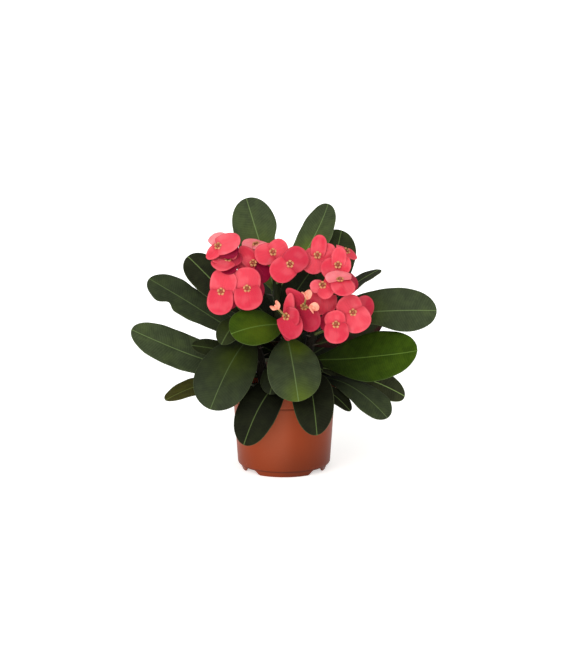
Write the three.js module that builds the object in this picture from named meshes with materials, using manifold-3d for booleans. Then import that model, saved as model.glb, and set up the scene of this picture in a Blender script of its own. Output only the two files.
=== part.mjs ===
// Crown of thorns (Euphorbia milii) in its nursery pot. Millimetres, +Z up, the front is -Y.
// The origin is the middle of the pot's foot, on the surface it stands on.
import * as THREE from 'three';
import { mergeVertices } from 'three/addons/utils/BufferGeometryUtils.js';
import Module from 'manifold-3d';

const wasm = await Module();
wasm.setup();

// ---- driving dimensions ---------------------------------------------------------------------

const GAP = 0.3; // clearance between pieces that touch

const POT = {
  height: 95,
  rimRadius: 60,
  rimBand: 16.4, // height of the raised band round the top
  shoulderRadius: 55, // body just under the band
  heelRadius: 50.3, // body just above the rounded bottom edge
  heelHeight: 9,
  footRadius: 45.4,
  footHeight: 5.5,
  footThickness: 2,
  wall: 1.2,
  sides: 34,
};
const NOTCH = { bearings: [-52, 52, 128, -128], floorWidth: 26, topWidth: 14 };
const DRAIN = { count: 6, ringRadius: 26, radius: 4, sides: 6 };

const SOIL = { edgeHeight: 84, crownHeight: 86.5 };

const STEM = { footRadius: 6.4, tipRadius: 4.6, rootDepth: 40, sides: 8, rings: 5 };
const STEMS = {
  left: { foot: [-20, -4], tip: [-44, -14, 188], young: [150, 320] },
  back: { foot: [-2, 18], tip: [-8, 16, 204], young: [90] },
  right: { foot: [18, 4], tip: [42, 6, 184], young: [165, 345] },
  front: { foot: [4, -16], tip: [2, -34, 170], young: [50, 170] },
};

const THORN = {
  length: 9,
  radius: 0.9,
  sunk: 1.5,
  pitch: 5.2,
  turn: 137.5,
  rise: 18,
  firstAbove: 6,
  lastBelow: 16,
};
const YOUNG_LEAF = { reach: 24, width: 12, rise: 62, below: 6 };

const LEAF = {
  midThickness: 1.5,
  edgeThickness: 0.7,
  sunk: 2, // its start is this far inside the stem
  petiole: 0.09, // half width at its start, as a share of its greatest half width
  taper: 1.1,
  fullest: 0.66, // place along the blade where it is widest
  tip: 2.3,
};

const leaf = (stem, height, heading, rise, reach, width, arch, roll, extras = {}) => (
  { stem, height, heading, rise, reach, width, arch, roll, ...extras }
);

// Large leaves, leaf_01 onwards. Each grows from a stem at a height, heading (degrees from +X towards
// +Y) and rise above level, and is reach long to its tip and width wide. arch bows the midrib up, roll
// turns the blade about its midrib, sway bows the midrib sideways, and a pinch is a bay in one margin:
// [side, place along the blade, depth, spread].
const LEAVES = [
  leaf('back', 192, 146, 69, 106, 48, 8, -49, { sway: 1, pinches: [[-1, 0.5, 0.28, 0.1]] }),
  leaf('back', 196, 37, 52, 109, 46, -7, 10, { sway: -1, fullest: 0.66, taper: 0.55 }),
  leaf('right', 172, 65, 55, 98, 44, 6, 34),
  leaf('right', 164, 39, 27, 97, 31, 6, -5),
  leaf('right', 166, -9, 5, 127, 50, 12, 66, { taper: 1.1, pinches: [[-1, 0.44, 0.4, 0.2]] }),
  leaf('right', 119, -23, 9.5, 126, 58, -6, 57, { fullest: 0.6, taper: 1.7, tip: 2 }),
  leaf('right', 135, 14, 19, 84, 36, -4.5, -76),
  leaf('right', 101, -35, -17, 110, 43, 15.5, 12, { fullest: 0.81, taper: 2.3 }),
  leaf('right', 112, 6, -19, 112, 32, 17, 60, { taper: 1.5 }),
  leaf('front', 92.5, -37, -10, 80, 29, 13.5, 2, { taper: 1.3 }),
  leaf('right', 104, -82, -26, 104, 44, 24, 10, { sway: 3 }),
  leaf('front', 152, -80, -38, 89, 56, 12, 8),
  leaf('front', 104, -126, -38, 95, 44, 23, -22),
  leaf('left', 150, -120, -37, 108, 62, 14, -17),
  leaf('left', 103, 180, 20.5, 147, 43, -9, -54),
  leaf('left', 140, 164, 29, 134, 47, 3, -28, { fullest: 0.74, sway: 2, pinches: [[1, 0.74, 0.34, 0.05]] }),
  leaf('left', 169, 141, 34.5, 101, 37, 6, -47),
  leaf('left', 90, 210, 0, 117, 40, 13.5, -8),
  leaf('front', 165, -144, -1, 69, 46, 7, -43),
  leaf('left', 168, -126, -24, 50, 28, 10, -17),
  leaf('left', 120, -167, 16.5, 74, 26, 3, -36),
  leaf('back', 168, -30, 54, 63, 34, 4, 105),
  leaf('back', 152, 100, 30, 84, 46, 8, -10),
  leaf('back', 124, 62, 14, 86, 48, 6, 45),
  leaf('back', 134, 144, 17, 90, 46, 6, -40),
  leaf('back', 106, 97, -14, 80, 44, 16, 0),
  leaf('right', 122, 50, 10, 90, 46, 6, 45),
];

// Smaller inner leaves that stay in one piece with their stem.
const INNER_LEAVES = [
  leaf('front', 122, -112, -28, 52, 30, 8, -10),
  leaf('front', 120, -14, -8, 36, 22, 8, 30),
  leaf('back', 122, 188, 28, 50, 36, 4, -70),
  leaf('back', 146, 10, 36, 52, 34, 4, 70),
  leaf('back', 158, 175, 40, 50, 32, 4, -80),
  leaf('right', 128, -156, 34, 34, 28, 4, -75),
];

const BRACT = {
  midThickness: 1.1,
  edgeThickness: 0.7,
  dome: -1.2,
  arch: 0.6,
  petiole: 0.45,
  taper: 0.35,
  fullest: 0.5,
};
const BRACT_LENGTH = 1.96; // in the bract's radii
const BRACT_OVERLAP = 0.3; // how far a bract starts behind the middle of its bloom, in its radii
const BRACT_TIP = 2.2; // how round a bract's tip is
const BRACT_SUNK = [0.6, 2.4, 3.4, 3.4]; // how far below the mouth each bract of a bloom starts
const CUP = {
  height: 5.4,
  proud: 1.2, // how far it stands out of the bracts
  footRadius: 1.1,
  waistRadius: 1.9,
  lipRadius: 3.4,
  mouthRadius: 2.1,
  sides: 5,
};
const BUD = {
  radius: 2.2,
  length: 7,
  stalkRadius: 0.9,
  bracts: [[60, 4.8, 50, 1], [240, 4.8, 50, 1]],
  sides: 5,
};
const STALK = { radius: 1.5, pedicelRadius: 1.05, sides: 4, steps: 2 };

const bloom = (fork, mouth, heading, tilt, bracts, buds = []) => (
  { fork, mouth, heading, tilt, bracts, buds }
);

// Flower stalks. forks are the points where a stalk divides, each with the index of the fork that it
// grows from, or -1 for the stem. A bloom sits on a fork, and its mouth is at the point given.
// It faces heading (degrees from -Y towards +X) and tilt above level. Each bract is [bearing, radius,
// fold, breadth, tip]: its bearing is in degrees clockwise from upright as seen from the front, its
// fold raises it towards the mouth, its breadth is its width in diameters, and a low tip is pointed.
// Buds grow out of a bloom's cup, at the points given.
const CYMES = [
  {
    name: 'a',
    stem: 'left',
    height: 182,
    forks: [[-48, -26, 206, -1], [-54, -28, 226, 0], [-40, -22, 228, 0]],
    blooms: [
      bloom(1, [-69.8, -48, 253.4], -20, 30, [[66, 15.2, 0, 0.74], [214, 10.8, 4, 0.66, 1.6]]),
      bloom(1, [-69, -28, 258], -50, 62, [[110, 7, 4, 1], [290, 10.5, 4, 1]]),
      bloom(1, [-59.3, -45, 238.9], -6, 50, [
        [222, 12, 8, 1],
        [60, 9.4, 0, 1.1],
        [246, 11.2, 24, 0.46, 1.6],
        [36, 10.5, 30, 0.5, 1.4],
      ]),
      bloom(0, [-66.7, -53, 205.3], -8, 12, [
        [184, 15, 4, 0.93],
        [12, 14.6, 8, 0.98, 2.6],
        [132, 13.5, -16, 1],
      ]),
      bloom(0, [-39.2, -53, 208.6], 4, 14, [
        [172, 14, 4, 1.08],
        [-3, 13.7, 2, 1.12],
        [102, 12.4, -18, 1],
      ]),
      bloom(2, [-33, -34, 232.6], 10, 24, [
        [322, 13.6, 12, 0.7, 1.2],
        [262, 11, 4, 0.95],
        [142, 14.6, -8, 0.85],
      ]),
      bloom(2, [-30, -16, 250], -24, 60, [[110, 8, 8, 1], [280, 10, 8, 0.95], [196, 8.4, 6, 1.1]]),
    ],
  },
  {
    name: 'b',
    stem: 'back',
    height: 198,
    forks: [[-6, -6, 222, -1]],
    blooms: [
      bloom(0, [-11.7, -30, 243.7], 4, 18, [[58, 10.4, 12, 1], [255, 12.2, 8, 0.95]]),
      bloom(0, [6.4, -42, 232.9], 0, 16, [[50, 13, 6, 1.05], [232, 14.4, 4, 0.95]]),
    ],
  },
  {
    name: 'c',
    stem: 'right',
    height: 178,
    forks: [[48, -14, 204, -1], [52, -12, 222, 0]],
    blooms: [
      bloom(1, [35.6, -37, 241.7], -4, 10, [
        [8, 13.2, 6, 0.64],
        [66, 12.2, 0, 0.78, 1.5],
        [216, 13, 6, 1.05],
        [166, 12, -15, 1],
      ]),
      bloom(1, [57.2, -48, 233], -10, 20, [
        [4, 11.8, 8, 0.68],
        [84, 8.4, 4, 1.25],
        [236, 11.8, 10, 1.08],
      ]),
      bloom(1, [66.7, -24, 243.8], 34, 44, [[150, 8.4, 6, 0.8, 1.6], [318, 7.6, 6, 0.6, 1.2]]),
      bloom(0, [58.9, -68, 221.1], 4, 60, [[-10, 10.6, -6, 1.3], [156, 12.2, -10, 1.02]]),
      bloom(0, [40.6, -64, 214.4], 12, 22, [[122, 9, -4, 1.38], [262, 8.2, 8, 0.85]]),
      bloom(0, [66, -35, 211.1], 46, 6, [[104, 11.4, 4, 1, 1.2], [276, 6, 4, 1]]),
    ],
  },
  {
    name: 'd',
    stem: 'front',
    height: 166,
    forks: [[10, -54, 176, -1]],
    blooms: [
      bloom(0, [2.3, -74, 182.6], -22, 4, [
        [150, 15.2, 4, 0.9],
        [86, 10.8, 22, 0.95],
        [183, 16.8, -12, 0.44],
        [4, 15, -8, 0.42, 1.3],
      ], [[-7.9, -82, 194.3]]),
      bloom(0, [21.1, -66, 191.7], -20, -6, [
        [157, 17, 8, 0.8],
        [316, 16, 10, 0.55, 1.1],
      ], [[23.6, -77, 205.7], [30, -78, 192.5]]),
      bloom(0, [42.4, -52, 201.4], 14, 10, [[188, 13, -4, 1.2], [246, 10.6, 4, 1]]),
    ],
  },
  {
    name: 'e',
    stem: 'right',
    height: 146,
    forks: [[62, -32, 166, -1]],
    blooms: [
      bloom(0, [54.9, -68, 172.7], -6, 18, [
        [174, 12.4, 6, 1.06],
        [-14, 9.3, 8, 1.2],
        [296, 11.6, -14, 1],
      ]),
      bloom(0, [73, -60, 184.1], 4, 16, [[154, 13.6, 4, 1.13], [-30, 11.9, 6, 1.15]]),
      bloom(0, [80, -40, 183], 36, 6, [[78, 12, 4, 1.05], [264, 5, 4, 1]]),
    ],
  },
];

// ---- materials ------------------------------------------------------------------------------

const finish = (color, roughness) => new THREE.MeshStandardMaterial({ color, roughness, metalness: 0 });
const MATERIALS = {
  pot: finish(0x9b4930, 0.5),
  soil: finish(0x2a1d14, 0.95),
  stem: finish(0x5b5145, 0.85),
  leaf: finish(0x3d4a29, 0.45),
  stalk: finish(0x5f6a35, 0.55),
  bract: finish(0xf0505c, 0.5),
};

// ---- solids ---------------------------------------------------------------------------------

const radians = THREE.MathUtils.degToRad;
const vector = (x, y, z) => new THREE.Vector3(x, y, z);

/** Turns a closed three.js geometry into a solid that can be joined and cut. */
function toSolid(geometry) {
  const bare = geometry.clone();
  bare.deleteAttribute('normal');
  bare.deleteAttribute('uv');
  const merged = mergeVertices(bare, 1e-4);
  return new wasm.Manifold(new wasm.Mesh({
    numProp: 3,
    vertProperties: new Float32Array(merged.attributes.position.array),
    triVerts: new Uint32Array(merged.index.array),
  }));
}

/** Turns a solid back into a named mesh. */
function toMesh(name, solid, material) {
  const { vertProperties, triVerts } = solid.getMesh();
  const geometry = new THREE.BufferGeometry();
  geometry.setAttribute('position', new THREE.BufferAttribute(vertProperties, 3));
  geometry.setIndex(new THREE.BufferAttribute(triVerts, 1));
  geometry.computeVertexNormals();
  const mesh = new THREE.Mesh(geometry, material);
  mesh.name = name;
  return mesh;
}

const joined = (solids) => solids.reduce((whole, piece) => whole.add(piece));

/** Points of an outline turned about +Z. */
function turned(profile, sides) {
  const outline = profile.map(([radius, height]) => new THREE.Vector2(radius, height));
  const geometry = new THREE.LatheGeometry(outline, sides);
  return geometry.rotateX(Math.PI / 2).rotateZ(Math.PI / sides);
}

/** A closed tube along a curve. */
function tube(curve, radius, sides, steps) {
  const frames = curve.computeFrenetFrames(steps, false);
  const positions = [];
  const index = [];
  for (let step = 0; step <= steps; step += 1) {
    const centre = curve.getPointAt(step / steps);
    for (let side = 0; side < sides; side += 1) {
      const angle = (2 * Math.PI * side) / sides;
      const point = centre.clone()
        .addScaledVector(frames.normals[step], radius * Math.cos(angle))
        .addScaledVector(frames.binormals[step], radius * Math.sin(angle));
      positions.push(point.x, point.y, point.z);
    }
  }
  for (let step = 0; step < steps; step += 1) {
    for (let side = 0; side < sides; side += 1) {
      const next = (side + 1) % sides;
      const a = step * sides + side;
      const b = step * sides + next;
      index.push(a, b, a + sides, b, b + sides, a + sides);
    }
  }
  const last = steps * sides;
  for (let side = 1; side < sides - 1; side += 1) {
    index.push(0, side + 1, side, last, last + side, last + side + 1);
  }
  const geometry = new THREE.BufferGeometry();
  geometry.setAttribute('position', new THREE.Float32BufferAttribute(positions, 3));
  geometry.setIndex(index);
  return geometry;
}

// ---- blades: leaves and bracts --------------------------------------------------------------

/** Half the width of a blade at a place along it, as a share of its greatest half width. */
function bladeOutline(blade, along, side) {
  const { fullest, petiole, taper, tip, pinches = [] } = blade;
  const share = along < fullest
    ? petiole + (1 - petiole) * (1 - (1 - along / fullest) ** 2) ** taper
    : Math.sqrt(Math.max(0, 1 - ((along - fullest) / (1 - fullest)) ** tip));
  const pinch = pinches
    .filter(([pinchedSide]) => pinchedSide === side)
    .reduce((kept, [, at, depth, spread]) => kept - depth * Math.exp(-(((along - at) / spread) ** 2)), 1);
  return share * pinch;
}

/** A point on a blade. across runs from -1 to 1, and face is 1 for its upper face, -1 for its lower. */
function bladePoint(blade, along, across, face) {
  const { base, forward, side, up, length, width, arch, dome = 0, sway = 0 } = blade;
  const bow = 4 * along * (1 - along);
  const slope = (4 * arch * (1 - 2 * along)) / length;
  const normal = up.clone().addScaledVector(forward, -slope).normalize();
  const share = bladeOutline(blade, along, Math.sign(across));
  const swell = (blade.midThickness - blade.edgeThickness) * (1 - Math.abs(across)) ** 2;
  const thickness = blade.edgeThickness + swell;
  return base.clone()
    .addScaledVector(forward, along * length)
    .addScaledVector(up, arch * bow + dome * across ** 2 * share)
    .addScaledVector(side, (across * share * width) / 2 + sway * bow)
    .addScaledVector(normal, (face * thickness) / 2);
}

/** A blade's closed geometry: an upper and a lower face split alike, and a thin edge all round. */
function bladeGeometry(blade, stations, columns) {
  const positions = [];
  const index = [];
  const rows = stations.length;
  const perFace = rows * (columns + 1) + 1;
  const place = (point) => positions.push(point.x, point.y, point.z);
  for (const face of [1, -1]) {
    for (const along of stations) {
      for (let column = 0; column <= columns; column += 1) {
        place(bladePoint(blade, along, (2 * column) / columns - 1, face));
      }
    }
    place(bladePoint(blade, 1, 0, face));
  }
  const at = (row, column) => row * (columns + 1) + column;
  const tip = perFace - 1;
  const upper = (a, b, c) => index.push(a, b, c, a + perFace, c + perFace, b + perFace);
  for (let row = 0; row < rows - 1; row += 1) {
    for (let column = 0; column < columns; column += 1) {
      const a = at(row, column);
      const b = at(row + 1, column);
      const c = at(row + 1, column + 1);
      const d = at(row, column + 1);
      if (column < columns / 2) {
        upper(a, b, d);
        upper(b, c, d);
      } else {
        upper(a, b, c);
        upper(a, c, d);
      }
    }
  }
  for (let column = 0; column < columns; column += 1) {
    upper(at(rows - 1, column), tip, at(rows - 1, column + 1));
  }
  const edge = (a, b) => index.push(a, a + perFace, b, b, a + perFace, b + perFace);
  for (let row = 0; row < rows - 1; row += 1) {
    edge(at(row, 0), at(row + 1, 0));
    edge(at(row + 1, columns), at(row, columns));
  }
  edge(at(rows - 1, 0), tip);
  edge(tip, at(rows - 1, columns));
  for (let column = 0; column < columns; column += 1) {
    edge(at(0, column + 1), at(0, column));
  }
  const geometry = new THREE.BufferGeometry();
  geometry.setAttribute('position', new THREE.Float32BufferAttribute(positions, 3));
  geometry.setIndex(index);
  return geometry;
}

/** Places along a blade at which it is split: even or bunched at its base, and round at its tip. */
function bladeStations(fullest, baseCount, tipCount, bunching) {
  const stations = [];
  for (let count = 0; count <= baseCount; count += 1) {
    stations.push(fullest * (count / baseCount) ** bunching);
  }
  for (let count = 1; count < tipCount; count += 1) {
    stations.push(fullest + (1 - fullest) * Math.sin((Math.PI / 2) * (count / tipCount)));
  }
  return stations;
}

// ---- pot and soil ---------------------------------------------------------------------------

const RIM_FLOOR = POT.height - POT.rimBand;

function potSolid() {
  const { wall, footHeight, footRadius, footThickness, heelRadius, heelHeight } = POT;
  const floorTop = footHeight + 1.6;
  const innerFoot = footRadius - footThickness;
  const body = toSolid(turned([
    [0, footHeight + 0.2],
    [innerFoot, footHeight],
    [innerFoot, 0],
    [footRadius - 0.6, 0],
    [footRadius, 0.8],
    [footRadius + 1.6, footHeight],
    [heelRadius - 1, footHeight + 1],
    [heelRadius, heelHeight],
    [POT.shoulderRadius, RIM_FLOOR],
    [POT.rimRadius - 0.9, RIM_FLOOR + 0.6],
    [POT.rimRadius, POT.height - 0.8],
    [POT.rimRadius - 0.5, POT.height],
    [POT.rimRadius - wall, POT.height],
    [POT.rimRadius - wall - 0.9, RIM_FLOOR + wall],
    [POT.shoulderRadius - wall, RIM_FLOOR + wall],
    [heelRadius - wall, heelHeight],
    [heelRadius - wall - 2, floorTop],
    [0, floorTop],
  ], POT.sides));
  return [...NOTCH.bearings.map(notchCutter), ...drainCutters(floorTop)]
    .reduce((whole, cutter) => whole.subtract(cutter), body);
}

/** A wedge that opens the foot ring at a bearing from the front. */
function notchCutter(bearing) {
  const outline = new THREE.Shape([
    new THREE.Vector2(-NOTCH.floorWidth / 2 - 1, -1),
    new THREE.Vector2(NOTCH.floorWidth / 2 + 1, -1),
    new THREE.Vector2(NOTCH.topWidth / 2, POT.footHeight - 0.3),
    new THREE.Vector2(-NOTCH.topWidth / 2, POT.footHeight - 0.3),
  ]);
  const inner = POT.footRadius - 10;
  const geometry = new THREE.ExtrudeGeometry(outline, { depth: 16, bevelEnabled: false });
  geometry.rotateX(Math.PI / 2).translate(0, -inner, 0).rotateZ(radians(bearing));
  return toSolid(geometry);
}

function drainCutters(floorTop) {
  const cutters = [];
  for (let count = 0; count < DRAIN.count; count += 1) {
    const angle = (2 * Math.PI * count) / DRAIN.count;
    const hole = new THREE.CylinderGeometry(DRAIN.radius, DRAIN.radius, floorTop, DRAIN.sides);
    hole.rotateX(Math.PI / 2);
    hole.translate(DRAIN.ringRadius * Math.cos(angle), DRAIN.ringRadius * Math.sin(angle), floorTop / 2 + 3);
    cutters.push(toSolid(hole));
  }
  return cutters;
}

function soilSolid(stems) {
  const shoulder = POT.shoulderRadius - POT.wall - GAP;
  const heel = POT.heelRadius - POT.wall - GAP;
  const band = POT.rimRadius - POT.wall - 1.2 - GAP;
  const floor = POT.footHeight + 1.6 + GAP;
  const ledge = RIM_FLOOR + POT.wall + GAP;
  const body = toSolid(turned([
    [0, floor],
    [heel - 2.2, floor],
    [heel - 0.1, POT.heelHeight + 0.2],
    [shoulder - 0.1, ledge - 0.5],
    [shoulder - 0.1, ledge],
    [band, ledge],
    [band, SOIL.edgeHeight],
    [band * 0.6, SOIL.crownHeight - 0.5],
    [0, SOIL.crownHeight],
  ], POT.sides));
  return stems.reduce((whole, stem) => whole.subtract(stemTube(stem, GAP + 0.05)), body);
}

// ---- stems ----------------------------------------------------------------------------------

/** The middle of a stem at a height. It leans further the higher it gets. */
function stemAxis({ foot, tip }, height) {
  const risen = Math.max(0, (height - SOIL.edgeHeight) / (tip[2] - SOIL.edgeHeight));
  const lean = risen * (0.6 + 0.4 * risen);
  return vector(foot[0] + (tip[0] - foot[0]) * lean, foot[1] + (tip[1] - foot[1]) * lean, height);
}

function stemRadius({ tip }, height) {
  const risen = Math.max(0, (height - SOIL.edgeHeight) / (tip[2] - SOIL.edgeHeight));
  return STEM.footRadius + (STEM.tipRadius - STEM.footRadius) * risen;
}

/** A stem's round body, or with extra the space it needs. */
function stemTube(stem, extra = 0) {
  const rings = [];
  const bottom = SOIL.edgeHeight - STEM.rootDepth - extra;
  const heights = [bottom, SOIL.edgeHeight];
  for (let ring = 1; ring <= STEM.rings; ring += 1) {
    heights.push(SOIL.edgeHeight + ((stem.tip[2] - SOIL.edgeHeight) * ring) / STEM.rings);
  }
  heights[heights.length - 1] += extra;
  for (const height of heights) {
    const centre = stemAxis(stem, height);
    const radius = stemRadius(stem, Math.min(height, stem.tip[2])) + extra / Math.cos(Math.PI / STEM.sides);
    rings.push({ centre, radius });
  }
  return toSolid(stack(rings, STEM.sides));
}

/** A closed body through level rings of points, one above the other. */
function stack(rings, sides) {
  const positions = [];
  const index = [];
  for (const { centre, radius } of rings) {
    for (let side = 0; side < sides; side += 1) {
      const angle = (2 * Math.PI * side) / sides;
      positions.push(centre.x + radius * Math.cos(angle), centre.y + radius * Math.sin(angle), centre.z);
    }
  }
  for (let ring = 0; ring < rings.length - 1; ring += 1) {
    for (let side = 0; side < sides; side += 1) {
      const next = (side + 1) % sides;
      const a = ring * sides + side;
      const b = ring * sides + next;
      index.push(a, b, a + sides, b, b + sides, a + sides);
    }
  }
  const last = (rings.length - 1) * sides;
  for (let side = 1; side < sides - 1; side += 1) {
    index.push(0, side + 1, side, last, last + side, last + side + 1);
  }
  const geometry = new THREE.BufferGeometry();
  geometry.setAttribute('position', new THREE.Float32BufferAttribute(positions, 3));
  geometry.setIndex(index);
  return geometry;
}

/** Thorns wind up the stem by the golden angle, where no leaf or stalk is in their way. */
function thornSolids(stem, obstacles) {
  const thorns = [];
  const top = stem.tip[2] - THORN.lastBelow;
  const rise = radians(THORN.rise);
  let bearing = stem.young[0];
  for (let height = SOIL.crownHeight + THORN.firstAbove; height < top; height += THORN.pitch) {
    bearing += THORN.turn;
    const direction = vector(
      Math.cos(radians(bearing)) * Math.cos(rise),
      Math.sin(radians(bearing)) * Math.cos(rise),
      Math.sin(rise),
    );
    const root = stemAxis(stem, height).addScaledVector(direction, stemRadius(stem, height) - THORN.sunk);
    const point = root.clone().addScaledVector(direction, THORN.length + THORN.sunk);
    const middle = root.clone().lerp(point, 0.6);
    const blocked = obstacles.some(({ at, reach }) => (
      at.distanceTo(point) < reach + 2.5 || at.distanceTo(middle) < reach + 2
    ));
    if (!blocked) {
      const cone = new THREE.CylinderGeometry(0, THORN.radius, THORN.length + THORN.sunk, 3);
      cone.applyQuaternion(new THREE.Quaternion().setFromUnitVectors(vector(0, 1, 0), direction));
      const centre = root.clone().lerp(point, 0.5);
      thorns.push(toSolid(cone.translate(centre.x, centre.y, centre.z)));
    }
  }
  return thorns;
}

/** The two small new leaves at a stem's growing tip. */
function youngLeafSolids(stem) {
  return stem.young.map((heading, count) => {
    const height = stem.tip[2] - YOUNG_LEAF.below + 2 * count;
    const { rise, reach, width } = YOUNG_LEAF;
    return leafSolid(leaf(stem, height, heading, rise, reach - 4 * count, width, 3, 0), stem, 2, 2);
  });
}

// ---- leaves ---------------------------------------------------------------------------------

const STATIONS = { plain: 4, pinched: 6, tip: 4 }; // rows of points on a leaf, more where a bay needs them

/** The blade of a leaf that starts inside its stem. */
function leafBlade(growth, stem) {
  const heading = radians(growth.heading);
  const rise = radians(growth.rise);
  const roll = radians(growth.roll);
  const outward = vector(Math.cos(heading), Math.sin(heading), 0);
  const forward = outward.clone().multiplyScalar(Math.cos(rise)).setZ(Math.sin(rise));
  const level = vector(0, 0, 1).cross(forward).normalize();
  const above = forward.clone().cross(level);
  const side = level.clone().multiplyScalar(Math.cos(roll)).addScaledVector(above, Math.sin(roll));
  const up = forward.clone().cross(side);
  const outset = stemRadius(stem, growth.height) - LEAF.sunk;
  const base = stemAxis(stem, growth.height).addScaledVector(outward, outset);
  return { ...LEAF, ...growth, base, forward, side, up, length: growth.reach };
}

function leafSolid(growth, stem, baseCount, tipCount) {
  const blade = leafBlade(growth, stem);
  return toSolid(bladeGeometry(blade, bladeStations(blade.fullest, baseCount, tipCount, 1), 2));
}

/** Points down a leaf's midrib, each with the blade's half width there. */
function leafObstacles(blade) {
  const obstacles = [];
  for (let along = 0; along <= 1; along += 0.04) {
    const share = bladeOutline(blade, along, 1);
    obstacles.push({ at: bladePoint(blade, along, 0, 0), reach: (share * blade.width) / 2 });
  }
  return obstacles;
}

// ---- flowers --------------------------------------------------------------------------------

/** The directions that a bloom is built on: out of its mouth, upright across it, and to its right. */
function bloomFrame({ heading, tilt }) {
  const out = vector(
    Math.sin(radians(heading)) * Math.cos(radians(tilt)),
    -Math.cos(radians(heading)) * Math.cos(radians(tilt)),
    Math.sin(radians(tilt)),
  );
  const upright = vector(0, 0, 1).addScaledVector(out, -out.z).normalize();
  return { out, upright, right: upright.clone().cross(out) };
}

/** Turns a geometry that was made along +Z to run along a direction from a point. */
function aimed(geometry, direction, point) {
  geometry.applyQuaternion(new THREE.Quaternion().setFromUnitVectors(vector(0, 0, 1), direction));
  return geometry.translate(point.x, point.y, point.z);
}

/** The cup in the middle of a bloom. */
function cupSolid(mouth, out) {
  const { height, proud, footRadius, waistRadius, lipRadius, mouthRadius, sides } = CUP;
  return toSolid(aimed(turned([
    [0, proud - height],
    [footRadius, proud - height],
    [waistRadius, -1.6],
    [lipRadius, proud * 0.6],
    [mouthRadius, proud],
    [0, proud - 0.4],
  ], sides), out, mouth));
}

/** One round bract, from the middle of a bloom outwards. */
function bractBlade(mouth, frame, bract, sunk) {
  const [turn, radius, fold, breadth, tip = BRACT_TIP] = bract;
  const { out, upright, right } = frame;
  const outward = upright.clone().multiplyScalar(Math.cos(radians(turn)))
    .addScaledVector(right, Math.sin(radians(turn)));
  const forward = outward.clone().multiplyScalar(Math.cos(radians(fold)))
    .addScaledVector(out, Math.sin(radians(fold)));
  const side = out.clone().cross(outward);
  const start = mouth.clone()
    .addScaledVector(out, -sunk)
    .addScaledVector(forward, -BRACT_OVERLAP * radius);
  return {
    ...BRACT,
    base: start,
    forward,
    side,
    up: forward.clone().cross(side),
    length: BRACT_LENGTH * radius,
    width: 2 * breadth * radius,
    tip,
  };
}

function bractSolid(blade, baseCount, tipCount) {
  return toSolid(bladeGeometry(blade, bladeStations(blade.fullest, baseCount, tipCount, 1.5), 2));
}

/** A young bud on its own short stalk, with its first two small bracts half open. */
function budSolids(mouth, point) {
  const direction = point.clone().sub(mouth).normalize();
  const frame = { out: direction, upright: vector(1, 0, 0).cross(direction).normalize() };
  frame.right = frame.upright.clone().cross(direction);
  const stalk = tube(new THREE.LineCurve3(mouth, point), BUD.stalkRadius, STALK.sides, 1);
  const body = new THREE.SphereGeometry(BUD.radius, BUD.sides, 3);
  body.rotateX(Math.PI / 2).scale(1, 1, BUD.length / (2 * BUD.radius));
  const bracts = BUD.bracts.map((bract) => bractSolid(bractBlade(point, frame, bract, 1), 1, 2));
  return [toSolid(stalk), toSolid(aimed(body, direction, point)), ...bracts];
}

/** A bloom with its cup, its bracts and any buds that grow from its cup. */
function bloomSolid(growth) {
  const frame = bloomFrame(growth);
  const mouth = vector(...growth.mouth);
  const bracts = growth.bracts.map((bract, which) => (
    bractSolid(bractBlade(mouth, frame, bract, BRACT_SUNK[which]), which < 2 ? 2 : 1, which < 2 ? 3 : 2)
  ));
  const buds = growth.buds.flatMap((bud) => budSolids(mouth, vector(...bud)));
  return joined([cupSolid(mouth, frame.out), ...bracts, ...buds]);
}

/** A forked flower stalk, up to the foot of each of its blooms. */
function cymeSolid(cyme, stem) {
  const start = stemAxis(stem, cyme.height);
  const forks = cyme.forks.map(([x, y, z]) => vector(x, y, z));
  const stretch = (from, bend, to, radius) => (
    toSolid(tube(new THREE.QuadraticBezierCurve3(from, bend, to), radius, STALK.sides, STALK.steps))
  );
  const branches = cyme.forks.map(([, , , parent], index) => {
    const from = parent < 0 ? start : forks[parent];
    const bend = from.clone().lerp(forks[index], 0.5);
    return stretch(from, bend, forks[index], STALK.radius);
  });
  const pedicels = cyme.blooms.map((growth) => {
    const { out } = bloomFrame(growth);
    const foot = vector(...growth.mouth).addScaledVector(out, CUP.proud - CUP.height - GAP);
    const from = forks[growth.fork];
    const bend = foot.clone().addScaledVector(out, -0.5 * from.distanceTo(foot));
    return stretch(from, bend, foot, STALK.pedicelRadius);
  });
  return joined([...branches, ...pedicels]);
}

// ---- the plant ------------------------------------------------------------------------------

const plant = new THREE.Group();
plant.add(toMesh('pot', potSolid(), MATERIALS.pot));
plant.add(toMesh('soil', soilSolid(Object.values(STEMS)), MATERIALS.soil));

const spaces = Object.fromEntries(
  Object.entries(STEMS).map(([name, stem]) => [name, stemTube(stem, GAP)]),
);

const obstacles = LEAVES.flatMap((growth) => leafObstacles(leafBlade(growth, STEMS[growth.stem])));
for (const [name, stem] of Object.entries(STEMS)) {
  const inner = INNER_LEAVES
    .filter((growth) => growth.stem === name)
    .map((growth) => leafSolid(growth, stem, 3, 3));
  const thorns = thornSolids(stem, obstacles);
  const solid = joined([stemTube(stem), ...inner, ...thorns, ...youngLeafSolids(stem)]);
  plant.add(toMesh(`stem_${name}`, solid, MATERIALS.stem));
}

LEAVES.forEach((growth, index) => {
  const rows = growth.pinches ? STATIONS.pinched : STATIONS.plain;
  const solid = leafSolid(growth, STEMS[growth.stem], rows, STATIONS.tip).subtract(spaces[growth.stem]);
  plant.add(toMesh(`leaf_${String(index + 1).padStart(2, '0')}`, solid, MATERIALS.leaf));
});

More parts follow.
